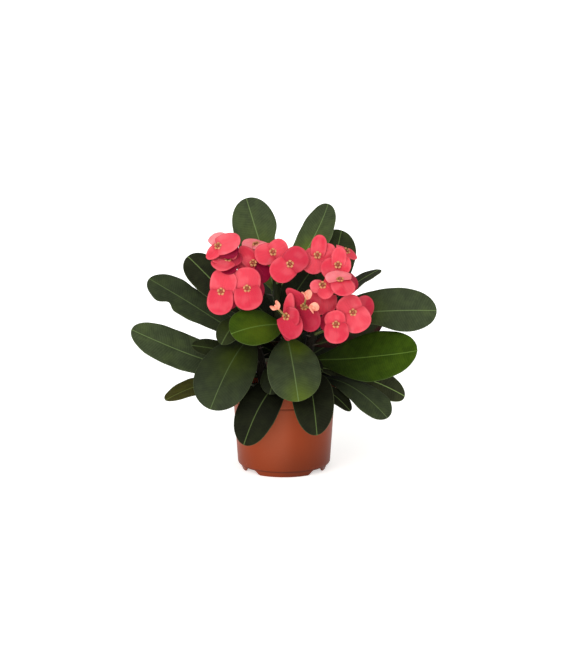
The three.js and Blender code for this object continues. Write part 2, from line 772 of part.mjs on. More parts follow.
for (const cyme of CYMES) {
  const stalk = cymeSolid(cyme, STEMS[cyme.stem]).subtract(spaces[cyme.stem]);
  plant.add(toMesh(`stalk_${cyme.name}`, stalk, MATERIALS.stalk));
  cyme.blooms.forEach((growth, index) => {
    plant.add(toMesh(`bloom_${cyme.name}${index + 1}`, bloomSolid(growth), MATERIALS.bract));
  });
}

export default plant;
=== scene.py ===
"""Crown of thorns (Euphorbia milii) in its nursery pot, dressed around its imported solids.

Metres, +Z up, the front is -Y. The sizes and growth tables are in millimetres and degrees.
"""

import math
import random

import bpy
import numpy as np
from bpy.props import FloatProperty, FloatVectorProperty, IntProperty, PointerProperty
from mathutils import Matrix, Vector, noise


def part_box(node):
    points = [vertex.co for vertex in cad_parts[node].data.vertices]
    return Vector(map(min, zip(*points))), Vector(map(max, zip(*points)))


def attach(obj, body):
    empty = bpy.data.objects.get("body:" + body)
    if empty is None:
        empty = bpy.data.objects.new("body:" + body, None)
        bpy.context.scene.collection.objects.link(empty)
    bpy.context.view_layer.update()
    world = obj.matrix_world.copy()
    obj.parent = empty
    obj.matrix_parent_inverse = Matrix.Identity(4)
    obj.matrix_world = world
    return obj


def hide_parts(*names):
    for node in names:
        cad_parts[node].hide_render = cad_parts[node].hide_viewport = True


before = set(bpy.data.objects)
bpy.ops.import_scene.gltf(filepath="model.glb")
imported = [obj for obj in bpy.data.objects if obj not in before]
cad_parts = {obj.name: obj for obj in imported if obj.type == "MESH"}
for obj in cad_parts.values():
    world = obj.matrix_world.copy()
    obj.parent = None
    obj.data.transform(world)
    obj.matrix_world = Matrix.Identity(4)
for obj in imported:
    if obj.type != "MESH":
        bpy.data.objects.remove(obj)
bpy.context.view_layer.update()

bl_info = {
    "name": "Potted Crown of Thorns",
    "version": (1, 0, 0),
    "blender": (4, 5, 0),
    "location": "3D View > Sidebar > Crown of Thorns",
    "description": "Builds a crown of thorns plant in its pot, piece by piece",
    "category": "Object",
}

MM = 0.001
POT_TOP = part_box("pot")[1].z
POT_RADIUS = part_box("pot")[1].x

# ---- sizes of the pot, the soil and the stems -----------------------------------------------

GAP = 0.3  # clearance between pieces that touch
WALL = 1.2
POT_HEIGHT = round(POT_TOP / MM, 3)
RIM_BAND = 16.4  # height of the raised band round the top
LEDGE_HEIGHT = POT_HEIGHT - RIM_BAND
SHOULDER_RADIUS = 55  # body just under the band
HEEL_RADIUS = 50.3  # body just above the rounded bottom edge
HEEL_HEIGHT = 9
FOOT_RADIUS = 45.4
FOOT_INNER = 43.4  # inside of the foot ring
FOOT_HEIGHT = 5.5
FLOOR_TOP = FOOT_HEIGHT + 1.6
NOTCH_BEARINGS = (-52, 52, 128, -128)
NOTCH_REACH = 13.4  # half the width of a notch at the floor
NOTCH_SLOPE = 6.6  # how far each of its sides leans in up to its top
DRAIN_COUNT = 6
DRAIN_RING = 26
DRAIN_RADIUS = 4
DRAIN_SIDES = 32

SOIL_RADIUS = 57.3  # inside of the rim band
SOIL_EDGE = 84  # height of the soil at the wall
SOIL_CROWN = 86.5  # height of the soil in the middle
SOIL_SEED = 11
PERLITE_EVERY = 26  # one crumb in so many is a grain of perlite

STEM_FOOT = 6.4  # radius at the soil
STEM_TIP = 4.6  # radius at the growing tip
ROOT_DEPTH = 40
BARK_SIDES = 28
BARK_STEP = 1.6  # height between two rings of points
SCAR_PITCH = 3.9  # height between two leaf scars
STEMS = {
    "left": {"foot": (-20, -4), "tip": (-44, -14, 188), "young": (150, 320)},
    "back": {"foot": (-2, 18), "tip": (-8, 16, 204), "young": (90,)},
    "right": {"foot": (18, 4), "tip": (42, 6, 184), "young": (165, 345)},
    "front": {"foot": (4, -16), "tip": (2, -34, 170), "young": (50, 170)},
}

THORN_SUNK = 1.5
THORN_PITCH = 5.2
THORN_TURN = 137.5
THORN_RISE = 18
THORNS_ABOVE_SOIL = 6
THORNS_BELOW_TIP = 16
YOUNG_LEAF = {"reach": 24, "width": 12, "rise": 62, "below": 6}

# ---- growth tables --------------------------------------------------------------------------

LEAF_HABIT = {
    "mid": 1.4,
    "edge": 0.6,
    "petiole": 0.09,
    "taper": 1.1,
    "fullest": 0.66,
    "tip": 2.3,
    "dome": 0,
    "sway": 0,
    "pinches": (),
    "fresh": (),
    "shade": (1, 1),
    "pale": 0,
}
LEAF_SUNK = 2


def leaf(stem, height, heading, rise, reach, width, arch, roll, tone, **extras):
    """One leaf's row in the growth tables."""
    row = {**LEAF_HABIT, "stem": stem, "height": height, "heading": heading, "rise": rise}
    row.update(length=reach, width=width, arch=arch, roll=roll, tone=tone, **extras)
    return row


# A pinch is a bay in one margin: (side, along, depth, spread).
# fresh lists patches of painted light shining through the blade: (along, across, size as a share of the
# length, strength).
# shade paints light and shade along the blade: how light it is at its foot and at its tip, as a share of
# its tone.
LEAVES = [
    leaf("back", 192, 146, 69, 106, 48, 8, -49, "slate", sway=1, pinches=((-1, 0.5, 0.28, 0.1),),
         fresh=((0.3, 0, 0.3, 0.6),), shade=(2.0, 1.1)),
    leaf("back", 196, 37, 52, 109, 46, -7, 10, "slate", sway=-1, taper=0.55,
         fresh=((0.35, -0.3, 0.26, 1.0),), shade=(2.2, 1.2)),
    leaf("right", 172, 65, 55, 98, 44, 6, 34, "deep", shade=(1.0, 1.3)),
    leaf("right", 164, 39, 27, 97, 31, 6, -5, "shaded", shade=(1.3, 3.6)),
    leaf("right", 166, -9, 5, 127, 50, 12, 66, "slate", pinches=((-1, 0.44, 0.4, 0.2),),
         fresh=((0.4, 0, 0.22, 0.35),), shade=(0.15, 1.3)),
    leaf("right", 119, -23, 9.5, 126, 58, -6, 57, "bright", fullest=0.6, taper=1.7, tip=2,
         shade=(0.25, 1.28)),
    leaf("right", 135, 14, 19, 84, 36, -4.5, -76, "deep", shade=(0.5, 0.7)),
    leaf("right", 101, -35, -17, 110, 43, 15.5, 12, "slate", fullest=0.81, taper=2.3,
         shade=(-0.4, 1.15)),
    leaf("right", 112, 6, -19, 112, 32, 17, 60, "shaded", taper=1.5, shade=(1.7, 4.2)),
    leaf("front", 92.5, -37, -10, 80, 29, 13.5, 2, "shaded", taper=1.3),
    leaf("right", 104, -82, -26, 104, 44, 24, 10, "shaded", sway=3, shade=(0.6, 1.35)),
    leaf("front", 152, -80, -38, 89, 56, 12, 8, "slate",
         fresh=((0.24, 0.3, 0.18, 1.3), (1.0, 0.1, 0.22, 0.8)), shade=(0.5, 1.05)),
    leaf("front", 104, -126, -38, 95, 44, 23, -22, "shaded", shade=(0.1, 1.25)),
    leaf("left", 150, -120, -37, 108, 62, 14, -17, "slate",
         fresh=((0.4, 0.05, 0.24, 0.8),), shade=(0.15, 0.8)),
    leaf("left", 103, 180, 20.5, 147, 43, -9, -54, "slate", shade=(0.5, 1.6)),
    leaf("left", 140, 164, 29, 134, 47, 3, -28, "slate", fullest=0.74, sway=2,
         pinches=((1, 0.74, 0.34, 0.05),), shade=(0.6, 1.05)),
    leaf("left", 169, 141, 34.5, 101, 37, 6, -47, "shaded", shade=(1.2, 2.0)),
    leaf("left", 90, 210, 0, 117, 40, 13.5, -8, "olive", shade=(0.9, 1.45)),
    leaf("front", 165, -144, -1, 69, 46, 7, -43, "bright",
         fresh=((0.55, 0.25, 0.3, 0.9),), shade=(0.6, 1.1)),
    leaf("left", 168, -126, -24, 50, 28, 10, -17, "deep",
         fresh=((0.6, 0, 0.4, 0.3),), shade=(0.5, 0.75)),
    leaf("left", 120, -167, 16.5, 74, 26, 3, -36, "deep", shade=(0.5, 0.75)),
    leaf("back", 168, -30, 54, 63, 34, 4, 105, "deep", shade=(0.25, 0.45)),
    leaf("back", 152, 100, 30, 84, 46, 8, -10, "slate", shade=(0.35, 0.8)),
    leaf("back", 124, 62, 14, 86, 48, 6, 45, "deep", shade=(0.25, 0.45)),
    leaf("back", 134, 144, 17, 90, 46, 6, -40, "slate", shade=(0.35, 0.8)),
    leaf("back", 106, 97, -14, 80, 44, 16, 0, "deep", shade=(0.35, 0.9)),
    leaf("right", 122, 50, 10, 90, 46, 6, 45, "slate", shade=(0.35, 0.6)),
]

# The inner leaves are darkened with painted shade.
INNER_LEAVES = [
    leaf("front", 122, -112, -28, 52, 30, 8, -10, "deep", shade=(0.25, 0.45)),
    leaf("front", 120, -14, -8, 36, 22, 8, 30, "shaded", shade=(0.35, 0.6)),
    leaf("back", 122, 188, 28, 50, 36, 4, -70, "deep", shade=(0.25, 0.45)),
    leaf("back", 146, 10, 36, 52, 34, 4, 70, "deep", shade=(0.25, 0.45)),
    leaf("back", 158, 175, 40, 50, 32, 4, -80, "deep", shade=(0.25, 0.45)),
    leaf("right", 128, -156, 34, 34, 28, 4, -75, "deep", shade=(0.25, 0.45)),
    leaf("right", 100, 2, 10, 36, 26, 4, 55, "shaded", shade=(0.5, 0.8)),
    leaf("back", 130, 230, 22, 32, 30, 4, 0, "shaded", shade=(0.5, 0.8)),
]

BRACT_HABIT = {
    "mid": 1.0,
    "edge": 0.6,
    "petiole": 0.45,
    "taper": 0.35,
    "fullest": 0.5,
    "dome": -1.2,
    "arch": 0.6,
    "sway": 0,
    "pinches": (),
    "fresh": (),
    "shade": (1, 1),
}
BRACT_LENGTH = 1.96  # in the bract's radii
BRACT_OVERLAP = 0.3  # how far a bract starts behind the middle of its bloom, in its radii
BRACT_SUNK = (0.6, 2.4, 3.4, 3.4, 4.4)  # how far below the mouth each bract of a bloom starts
BRACT_TIP = 2.2  # how round a bract's tip is
CUP_HEIGHT = 5.4
CUP_PROUD = 1.2
STALK_RADIUS = 1.5
PEDICEL_RADIUS = 1.05


def bract(turn, radius, fold, breadth, tip=BRACT_TIP, pale=0):
    """One bract's row. pale is how much painted highlight it gets, or below 0 how much painted shade in
    deep red.
    """
    return {"turn": turn, "radius": radius, "fold": fold, "breadth": breadth, "tip": tip, "pale": pale}


BUD = {
    "radius": 2.2, "length": 7, "stalk": 0.9,
    "bracts": (bract(60, 4.8, 50, 1, pale=0.3), bract(240, 4.8, 50, 1, pale=0.3)),
}


def bloom(fork, mouth, heading, tilt, *bracts, buds=()):
    """One bloom's row: the fork that it grows from, the middle of its mouth and where it looks."""
    row = {"fork": fork, "mouth": mouth, "heading": heading, "tilt": tilt}
    row.update(bracts=bracts, buds=buds)
    return row


def cyme(name, stem, height, forks, *blooms):
    """One flower stalk's row. Each fork ends with the number of the fork before it, or -1 for none."""
    return {"name": name, "stem": stem, "height": height, "forks": forks, "blooms": blooms}


# The last bracts of a1 and a3 lie in the shade behind the others and show only in the gaps.
# A bract's pale above 0 paints a highlight on it, and below 0 paints shade on it in deep red.
CYMES = [
    cyme("a", "left", 182, [(-48, -26, 206, -1), (-54, -28, 226, 0), (-40, -22, 228, 0)],
         bloom(1, (-69.8, -48, 253.4), -20, 30,
               bract(66, 15.2, 0, 0.74, pale=0.2), bract(214, 10.8, 4, 0.66, tip=1.6, pale=0.1),
               bract(97, 13, -14, 0.75, pale=-0.7)),
         bloom(1, (-69, -28, 258), -50, 62,
               bract(110, 7, 4, 1, pale=1), bract(290, 10.5, 4, 1, pale=1.3)),
         bloom(1, (-59.3, -45, 238.9), -6, 50,
               bract(222, 12, 8, 1, pale=0.15), bract(60, 9.4, 0, 1.1, pale=-0.5),
               bract(246, 11.2, 24, 0.46, tip=1.6, pale=0.1),
               bract(36, 10.5, 30, 0.5, tip=1.4, pale=0.1), bract(176, 9.6, -6, 0.95, pale=-0.6)),
         bloom(0, (-66.7, -53, 205.3), -8, 12,
               bract(184, 15, 4, 0.93), bract(12, 14.6, 8, 0.98, tip=2.6),
               bract(132, 13.5, -16, 1, pale=-0.6)),
         bloom(0, (-39.2, -53, 208.6), 4, 14,
               bract(172, 14, 4, 1.08), bract(-3, 13.7, 2, 1.12), bract(102, 12.4, -18, 1, pale=-0.6)),
         bloom(2, (-33, -34, 232.6), 10, 24,
               bract(322, 13.6, 12, 0.7, tip=1.2, pale=-0.1), bract(262, 11, 4, 0.95, pale=-0.1),
               bract(142, 14.6, -8, 0.85, pale=-0.7)),
         bloom(2, (-30, -16, 250), -24, 60,
               bract(110, 8, 8, 1, pale=1.2), bract(280, 10, 8, 0.95, pale=0.9),
               bract(196, 8.4, 6, 1.1, pale=1))),
    cyme("b", "back", 198, [(-6, -6, 222, -1)],
         bloom(0, (-11.7, -30, 243.7), 4, 18,
               bract(58, 10.4, 12, 1, pale=0.06), bract(255, 12.2, 8, 0.95, pale=0.08)),
         bloom(0, (6.4, -42, 232.9), 0, 16,
               bract(50, 13, 6, 1.05, pale=-0.3), bract(232, 14.4, 4, 0.95))),
    cyme("c", "right", 178, [(48, -14, 204, -1), (52, -12, 222, 0)],
         bloom(1, (35.6, -37, 241.7), -4, 10,
               bract(8, 13.2, 6, 0.64, pale=-0.12), bract(66, 12.2, 0, 0.78, tip=1.5),
               bract(216, 13, 6, 1.05, pale=0.2), bract(166, 12, -15, 1, pale=-0.7)),
         bloom(1, (57.2, -48, 233), -10, 20,
               bract(4, 11.8, 8, 0.68), bract(84, 8.4, 4, 1.25), bract(236, 11.8, 10, 1.08)),
         bloom(1, (66.7, -24, 243.8), 34, 44,
               bract(150, 8.4, 6, 0.8, tip=1.6, pale=0.2), bract(318, 7.6, 6, 0.6, tip=1.2, pale=0.2)),
         bloom(0, (58.9, -68, 221.1), 4, 60,
               bract(-10, 10.6, -6, 1.3, pale=0.9), bract(156, 12.2, -10, 1.02, pale=0.1)),
         bloom(0, (40.6, -64, 214.4), 12, 22,
               bract(122, 9, -4, 1.38, pale=0.1), bract(262, 8.2, 8, 0.85, pale=0.35)),
         bloom(0, (66, -35, 211.1), 46, 6,
               bract(104, 11.4, 4, 1, tip=1.2, pale=-0.4), bract(276, 6, 4, 1, pale=-0.4))),
    cyme("d", "front", 166, [(10, -54, 176, -1)],
         bloom(0, (2.3, -74, 182.6), -22, 4,
               bract(150, 15.2, 4, 0.9, pale=-0.2), bract(86, 10.8, 22, 0.95, pale=-0.25),
               bract(183, 16.8, -12, 0.44, pale=-0.3), bract(4, 15, -8, 0.42, tip=1.3, pale=-0.2),
               buds=[(-7.9, -82, 194.3)]),
         bloom(0, (21.1, -66, 191.7), -20, -6,
               bract(157, 17, 8, 0.8, pale=-0.34), bract(316, 16, 10, 0.55, tip=1.1, pale=-0.35),
               buds=[(23.6, -77, 205.7), (30, -78, 192.5)]),
         bloom(0, (42.4, -52, 201.4), 14, 10,
               bract(188, 13, -4, 1.2, pale=0.05), bract(246, 10.6, 4, 1, pale=-0.1))),
    cyme("e", "right", 146, [(62, -32, 166, -1)],
         bloom(0, (54.9, -68, 172.7), -6, 18,
               bract(174, 12.4, 6, 1.06), bract(-14, 9.3, 8, 1.2),
               bract(296, 11.6, -14, 1, pale=-0.6)),
         bloom(0, (73, -60, 184.1), 4, 16,
               bract(154, 13.6, 4, 1.13, pale=0.2), bract(-30, 11.9, 6, 1.15, pale=0.05)),
         bloom(0, (80, -40, 183), 36, 6,
               bract(78, 12, 4, 1.05, pale=-0.25), bract(264, 5, 4, 1, pale=-0.2))),
]


# ---- finishes -------------------------------------------------------------------------------


def operation(name, reflected=False):
    """A method of Value that works out one operation with another term."""

    def work(value, other):
        terms = (other, value) if reflected else (value, other)
        return value.math(name, *terms)

    return work


class Value:
    """One output of a finish's nodes. Arithmetic on it adds Math nodes."""

    def __init__(self, finish, node, output=0):
        self.finish = finish
        self.node = node
        self.socket = node.outputs[output] if node.outputs else None

    def output(self, name):
        """Another output of the same node."""
        return Value(self.finish, self.node, name)

    def math(self, name, *terms, clamp=False):
        settings = {"operation": name, "use_clamp": clamp}
        return self.finish.node("ShaderNodeMath", settings, dict(enumerate(terms)))

    __add__ = operation("ADD")
    __radd__ = operation("ADD", reflected=True)
    __sub__ = operation("SUBTRACT")
    __rsub__ = operation("SUBTRACT", reflected=True)
    __mul__ = operation("MULTIPLY")
    __rmul__ = operation("MULTIPLY", reflected=True)
    __truediv__ = operation("DIVIDE")
    __rtruediv__ = operation("DIVIDE", reflected=True)
    __pow__ = operation("POWER")
    __rpow__ = operation("POWER", reflected=True)

    def __abs__(self):
        return self.math("ABSOLUTE", self)

    def sine(self):
        return self.math("SINE", self)

    def clamped(self):
        return self.math("ADD", self, 0, clamp=True)


class Finish:
    """A procedural material, made node by node."""

    def __init__(self, name):
        self.material = bpy.data.materials.new(name)
        self.material.use_nodes = True
        self.tree = self.material.node_tree
        self.tree.nodes.clear()
        self.place = self.node("ShaderNodeTexCoord").output("Object")

    def node(self, kind, settings=None, sockets=None, output=0):
        """Adds a node: its settings are set first, then each socket gets a value or a link."""
        made = self.tree.nodes.new(kind)
        for name, setting in (settings or {}).items():
            setattr(made, name, setting)
        for name, value in (sockets or {}).items():
            socket = made.inputs[name]
            if isinstance(value, Value):
                self.tree.links.new(value.socket, socket)
            elif socket.type == "RGBA":
                socket.default_value = (*value, 1)
            else:
                socket.default_value = value
        return Value(self, made, output)

    def mark(self, name):
        """A number that the mesh carries at each point."""
        return self.node("ShaderNodeAttribute", {"attribute_name": name}, output="Fac")

    def noise(self, scale, detail=2, roughness=0.5, stretch=None):
        """Soft noise with a number of features to the metre, from 0 to 1."""
        where = self.place
        if stretch:
            where = self.node("ShaderNodeMapping", {}, {"Vector": where, "Scale": stretch})
        sockets = {"Vector": where, "Scale": scale, "Detail": detail, "Roughness": roughness}
        return self.node("ShaderNodeTexNoise", {}, sockets)

    def cells(self, scale, feature="F1"):
        """Cell noise with a number of cells to the metre: the distance to a cell's middle or edge."""
        sockets = {"Vector": self.place, "Scale": scale}
        return self.node("ShaderNodeTexVoronoi", {"feature": feature}, sockets)

    def step(self, value, low, high):
        """0 where the value is below low, 1 where it is above high, and smooth between."""
        settings = {"interpolation_type": "SMOOTHSTEP"}
        sockets = {"Value": value, "From Min": low, "From Max": high}
        return self.node("ShaderNodeMapRange", settings, sockets)

    def blend(self, share, first, second):
        """The first colour, with the second laid over it by a share."""
        settings = {"data_type": "RGBA", "clamp_factor": True}
        return self.node("ShaderNodeMix", settings, {0: share, 6: first, 7: second}, output=2)

    def layered(self, base, *layers):
        """A colour with others laid over it one by one, each given as its share and its colour."""
        for share, shade in layers:
            base = self.blend(share, base, shade)
        return base

    def scaled(self, shade, strength):
        """A colour made lighter or darker by a value."""
        settings = {"operation": "SCALE"}
        return self.node("ShaderNodeVectorMath", settings, {0: shade, "Scale": strength})

    def surface(self, shade, roughness, height, depth, specular=0.5, others=None):
        """Closes the finish with one shader. depth is how high the relief is, in metres."""
        relief = self.node("ShaderNodeBump", {}, {"Distance": depth, "Height": height})
        sockets = {"Base Color": shade, "Roughness": roughness, "Normal": relief}
        sockets.update({"Specular IOR Level": specular, **(others or {})})
        shader = self.node("ShaderNodeBsdfPrincipled", {}, sockets)
        self.node("ShaderNodeOutputMaterial", {}, {"Surface": shader})
        return self.material


def darker(shade, share):
    """A colour as a share of its brightness."""
    return tuple(share * part for part in shade)


def mixed(first, second, share):
    """A colour part of the way from the first to the second."""
    return tuple(a + (b - a) * share for a, b in zip(first, second))


def plastic_finish(settings):
    """Satin moulded polypropylene with faint flow marks, rubs and dust, painted lighter on its left side
    with a band of painted highlight, painted shadow lines under the band and over the foot, and painted
    shade towards the bottom.
    """
    finish = Finish("terracotta_plastic")
    position = finish.node("ShaderNodeSeparateXYZ", {}, {"Vector": finish.place})
    sideways, height = position.output("X"), position.output("Z")
    flow = finish.noise(22, detail=3, stretch=(1, 1, 0.35))
    grain = finish.noise(900)
    rub = finish.noise(160, detail=5, roughness=0.7, stretch=(1, 1, 3))
    low = 1 - finish.step(height, 0.006, 0.02)
    lip = finish.step(height, POT_TOP - 0.004, POT_TOP)
    rubbed = finish.step(rub, 0.6, 0.72) * (low + lip + 0.12).clamped()
    dust = finish.step(finish.cells(420), 0.1, 0.02) * finish.step(flow, 0.5, 0.7)
    # Painted shadow lines just under the band and just over the foot ledge.
    under_band = abs(height - (LEDGE_HEIGHT - 1.8) * MM)
    over_foot = abs(height - (FOOT_HEIGHT + 0.9) * MM)
    painted_shadow_lines = finish.step(under_band, 0.0017, 0.0006) * 0.5 + finish.step(over_foot, 0.0016, 0.0006) * 0.35
    # Painted light on the pot's left side, and a band of painted highlight just left of its middle.
    painted_light_side = 1 - finish.step(sideways + flow * 0.01, -0.018, 0.022)
    painted_highlight = (1 - finish.step(abs(sideways + 0.01), 0.004, 0.026)) * finish.step(height, 0.0, 0.05)

    base = finish.blend(flow, darker(settings.plastic, 0.9), darker(settings.plastic, 1.08))
    base = finish.layered(base, (rubbed * 0.35, settings.rubbed), (dust * 0.25, settings.rubbed))
    # Painted shade darkens the pot towards its bottom, and painted light lifts its left side.
    base = finish.scaled(base, 0.44 + finish.step(height, -0.005, 0.055) * 0.48 + painted_light_side * 0.3)
    # The painted highlight is laid in the rubbed colour, and the painted shadow lines darken the plastic.
    base = finish.blend(painted_highlight * 0.08, finish.scaled(base, 1 - painted_shadow_lines), settings.rubbed)
    rough = 0.38 + flow * 0.08 + rubbed * 0.2 + painted_shadow_lines * 0.8
    relief = grain * 0.25 + flow * 0.6 + rubbed * 0.3
    return finish.surface(base, rough, relief, depth=0.00012, specular=0.12)


def peat_finish(settings):
    """Dark moist peat with paler fibres."""
    finish = Finish("peat")
    lumps = finish.noise(260, detail=6, roughness=0.65)
    fibres = finish.noise(700, detail=4, roughness=0.7, stretch=(1, 0.25, 1))
    base = finish.layered(
        darker(settings.peat, 0.5),
        (finish.step(lumps, 0.35, 0.7), settings.peat),
        (finish.step(fibres, 0.56, 0.7) * 0.5, settings.fibre),
    )
    relief = lumps + fibres * 0.5
    return finish.surface(base, 0.95 - lumps * 0.15, relief, depth=0.0009, specular=0.25)


def perlite_finish(settings):
    """Chalky white grains, stained by the peat."""
    finish = Finish("perlite")
    stain = finish.noise(300, detail=3)
    base = finish.blend(finish.step(stain, 0.45, 0.7) * 0.6, settings.perlite, settings.fibre)
    return finish.surface(base, 0.85, finish.cells(1500), depth=0.0004, specular=0.3)


def bark_finish(settings):
    """Grey-brown corky bark that turns green towards the growing tip."""
    finish = Finish("bark")
    fissures = finish.noise(330, detail=5, roughness=0.65, stretch=(1, 1, 0.16))
    blotch = finish.noise(90, detail=3)
    green = finish.step(finish.mark("run") + blotch * 30, 70, 108)
    base = finish.layered(
        darker(settings.bark, 0.45),
        (finish.step(fissures, 0.35, 0.65), settings.bark),
        (green * 0.85, settings.shoot),
        (finish.step(blotch, 0.55, 0.75) * 0.3, settings.lichen),
    )
    relief = fissures + blotch * 0.4
    return finish.surface(base, 0.8 - green * 0.2, relief, depth=0.0008, specular=0.12)


def thorn_finish(settings):
    """Horny thorns, brown at the foot and pale grey towards a dark point."""
    finish = Finish("thorn")
    along = finish.mark("run")
    streaks = finish.noise(900, detail=3, stretch=(1, 1, 0.4))
    base = finish.layered(
        darker(settings.thorn, 0.45),
        (finish.step(along, 0.0, 0.5), settings.thorn),
        (finish.step(along, 0.75, 1.0), darker(settings.thorn, 0.35)),
        (finish.step(streaks, 0.5, 0.7) * 0.3, darker(settings.thorn, 0.5)),
    )
    return finish.surface(base, 0.5 + streaks * 0.15, streaks, depth=0.0001)


def leaf_finish(settings, tone):
    """A leathery leaf: pale midrib, close side veins, thin pale margin and a wine-red back, with painted
    light and shade laid on from its marks.
    """
    finish = Finish(f"leaf_{tone}")
    body = getattr(settings, tone)
    across = abs(finish.mark("rib"))
    run = finish.mark("run")
    inset = finish.mark("rim")
    back = finish.step(finish.mark("under"), 0.4, 0.6)
    shade = finish.mark("shade")
    drift = finish.noise(55)
    mottle = finish.noise(110, detail=4, roughness=0.6)
    skin = finish.noise(1400)

    # Side veins sweep forward from the midrib, which gets thinner towards the tip.
    sweep = run - across * 0.34 - across * across * 0.006 + drift * 5
    wave = (sweep * (2 * math.pi / (settings.vein_spacing / MM))).sine() * 0.5 + 0.5
    veins = wave**5 * finish.step(across, 0.5, 2.5) * finish.step(inset, 0.3, 2.5)
    cells = finish.step(finish.cells(700, "DISTANCE_TO_EDGE"), 0.12, 0.0)
    rib = 1 - finish.step(across / (1.05 - run * 0.004), 0.35, 1.0)
    margin = 1 - finish.step(inset, 0.15, 0.6)

    drifted = mixed(darker(body, 1.3), settings.fresh, 0.06 if tone == "shaded" else 0.3)
    base = finish.layered(
        darker(body, 0.8),
        (finish.step(mottle, 0.3, 0.72), darker(body, 1.18)),
        (finish.step(drift, 0.45, 0.7) * 0.3, drifted),
        # painted light shining through the blade in yellow-green patches
        (finish.mark("fresh") * (0.55 + mottle * 0.7), settings.fresh),
        (veins * 0.3, darker(body, 1.6)),
        ((1 - wave) ** 4 * 0.16, darker(body, 0.6)),
        (cells * 0.08, darker(body, 0.6)),
        (margin * 0.4, mixed(darker(body, 1.5), settings.margin, 0.4)),
    )
    # Painted light and shade along the blade, from its foot to its tip, and more weakly on its midrib.
    rib_shade = finish.scaled(mixed(darker(body, 2.2), settings.midrib, 0.27), shade * 0.86 + 0.12)
    base = finish.blend(rib * 0.8, finish.scaled(base, shade), rib_shade)

    flush = finish.step(mottle + (1 - finish.step(inset, 0, 9)) * 0.25, 0.42, 0.7)
    under = finish.layered(
        settings.underside,
        (flush, settings.flush),
        (veins * 0.1 + rib * 0.7, mixed(settings.flush, settings.midrib, 0.35)),
    )
    # The back takes the same painted light and shade.
    base = finish.blend(back, base, finish.scaled(under, shade))

    rough = settings.gloss_roughness + mottle * 0.1 + veins * 0.08 + back * 0.15
    relief = wave * 0.3 + skin * 0.12 - cells * 0.12 + mottle * 0.5
    gloss = 0.03 if tone == "shaded" else 0.07
    return finish.surface(base, rough, relief, depth=0.00022, specular=gloss)


def bract_finish(settings):
    """A velvety coral bract with fine branching veins, with painted highlight and sheen, painted shade
    along its crease and near the bloom's middle, and deep red painted shade where it lies in the shade.
    """
    finish = Finish("bract")
    across = finish.mark("rib")
    run = finish.mark("run")
    inset = finish.mark("rim")
    pale = finish.mark("fresh")
    back = finish.step(finish.mark("under"), 0.4, 0.6)
    cloud = finish.noise(130)
    skin = finish.noise(2200)
    veins = ((across / (run + 6) * 46 + finish.noise(350) * 3).sine() * 0.5 + 0.5) ** 4
    crease = 1 - finish.step(abs(across), 0.1, 0.7)
    margin = 1 - finish.step(inset, 0.05, 0.5)
    # Painted sheen in broad patches away from the bloom's middle.
    painted_sheen = finish.step(finish.noise(75, detail=1), 0.45, 0.68) * finish.step(run, 3.0, 9.0)

    dim = darker(settings.coral, 0.72)
    base = finish.layered(
        settings.coral,
        (cloud, mixed(settings.coral, settings.rose, 0.5)),
        (veins * 0.14, dim),
        # painted shade along the crease
        (crease * 0.2, darker(settings.coral, 0.75)),
        (painted_sheen * 0.13, settings.highlit),
        # painted highlight near the margin
        ((1 - finish.step(inset, 0.5, 3.0)) * 0.12, settings.highlit),
        (margin * 0.35, darker(settings.rose, 0.8)),
        # painted highlight where pale is above 0
        (pale * (0.4 + cloud * 0.5), settings.highlit),
        # painted shade near the bloom's middle, where the bracts overlap
        ((1 - finish.step(run, 3.0, 10.0)) * 0.3, dim),
        (back * 0.6, settings.rose),
        # painted shade in deep red where pale is below 0
        (pale * -1.4, settings.crimson),
    )
    velvet = {"Subsurface Weight": 0.1, "Subsurface Scale": 0.0015, "Subsurface Radius": (1.0, 0.25, 0.2)}
    relief = veins * -0.35 + skin * 0.2 + cloud * 0.6
    return finish.surface(base, 0.5 + skin * 0.12, relief, depth=0.00016, specular=0.08, others=velvet)


def soft_finish(name, shade, second, scale, roughness):
    """A plain living surface that drifts between two colours."""
    finish = Finish(name)
    drift = finish.noise(scale, detail=4, roughness=0.6)
    base = finish.blend(finish.step(drift, 0.35, 0.68), shade, second)
    return finish.surface(base, roughness + drift * 0.1, drift, depth=0.0001)


def stalk_finish(settings):
    """A fleshy green stalk, flushed red in places."""
    finish = Finish("stalk")
    streaks = finish.noise(420, detail=3, stretch=(1, 1, 0.25))
    base = finish.layered(
        darker(settings.stalk, 0.8),
        (finish.step(streaks, 0.35, 0.7), settings.stalk),
        (finish.step(finish.noise(60), 0.52, 0.72) * 0.55, settings.stalk_flush),
    )
    return finish.surface(base, 0.5 + streaks * 0.1, streaks, depth=0.00015)


def floor_finish(settings):
    """Matt white studio paper, lit a little from below."""
    finish = Finish("studio_paper")
    fibre = finish.noise(300, detail=3)
    base = finish.blend(fibre * 0.1, settings.floor, darker(settings.floor, 0.97))
    glow = {"Emission Color": settings.floor, "Emission Strength": settings.floor_glow}
    return finish.surface(base, 0.9, fibre, depth=0.00005, specular=0.1, others=glow)


# ---- building pieces ------------------------------------------------------------------------


def placed(name, data):
    """Puts an object with some data in the scene."""
    made = bpy.data.objects.new(name, data)
    bpy.context.scene.collection.objects.link(made)
    return made


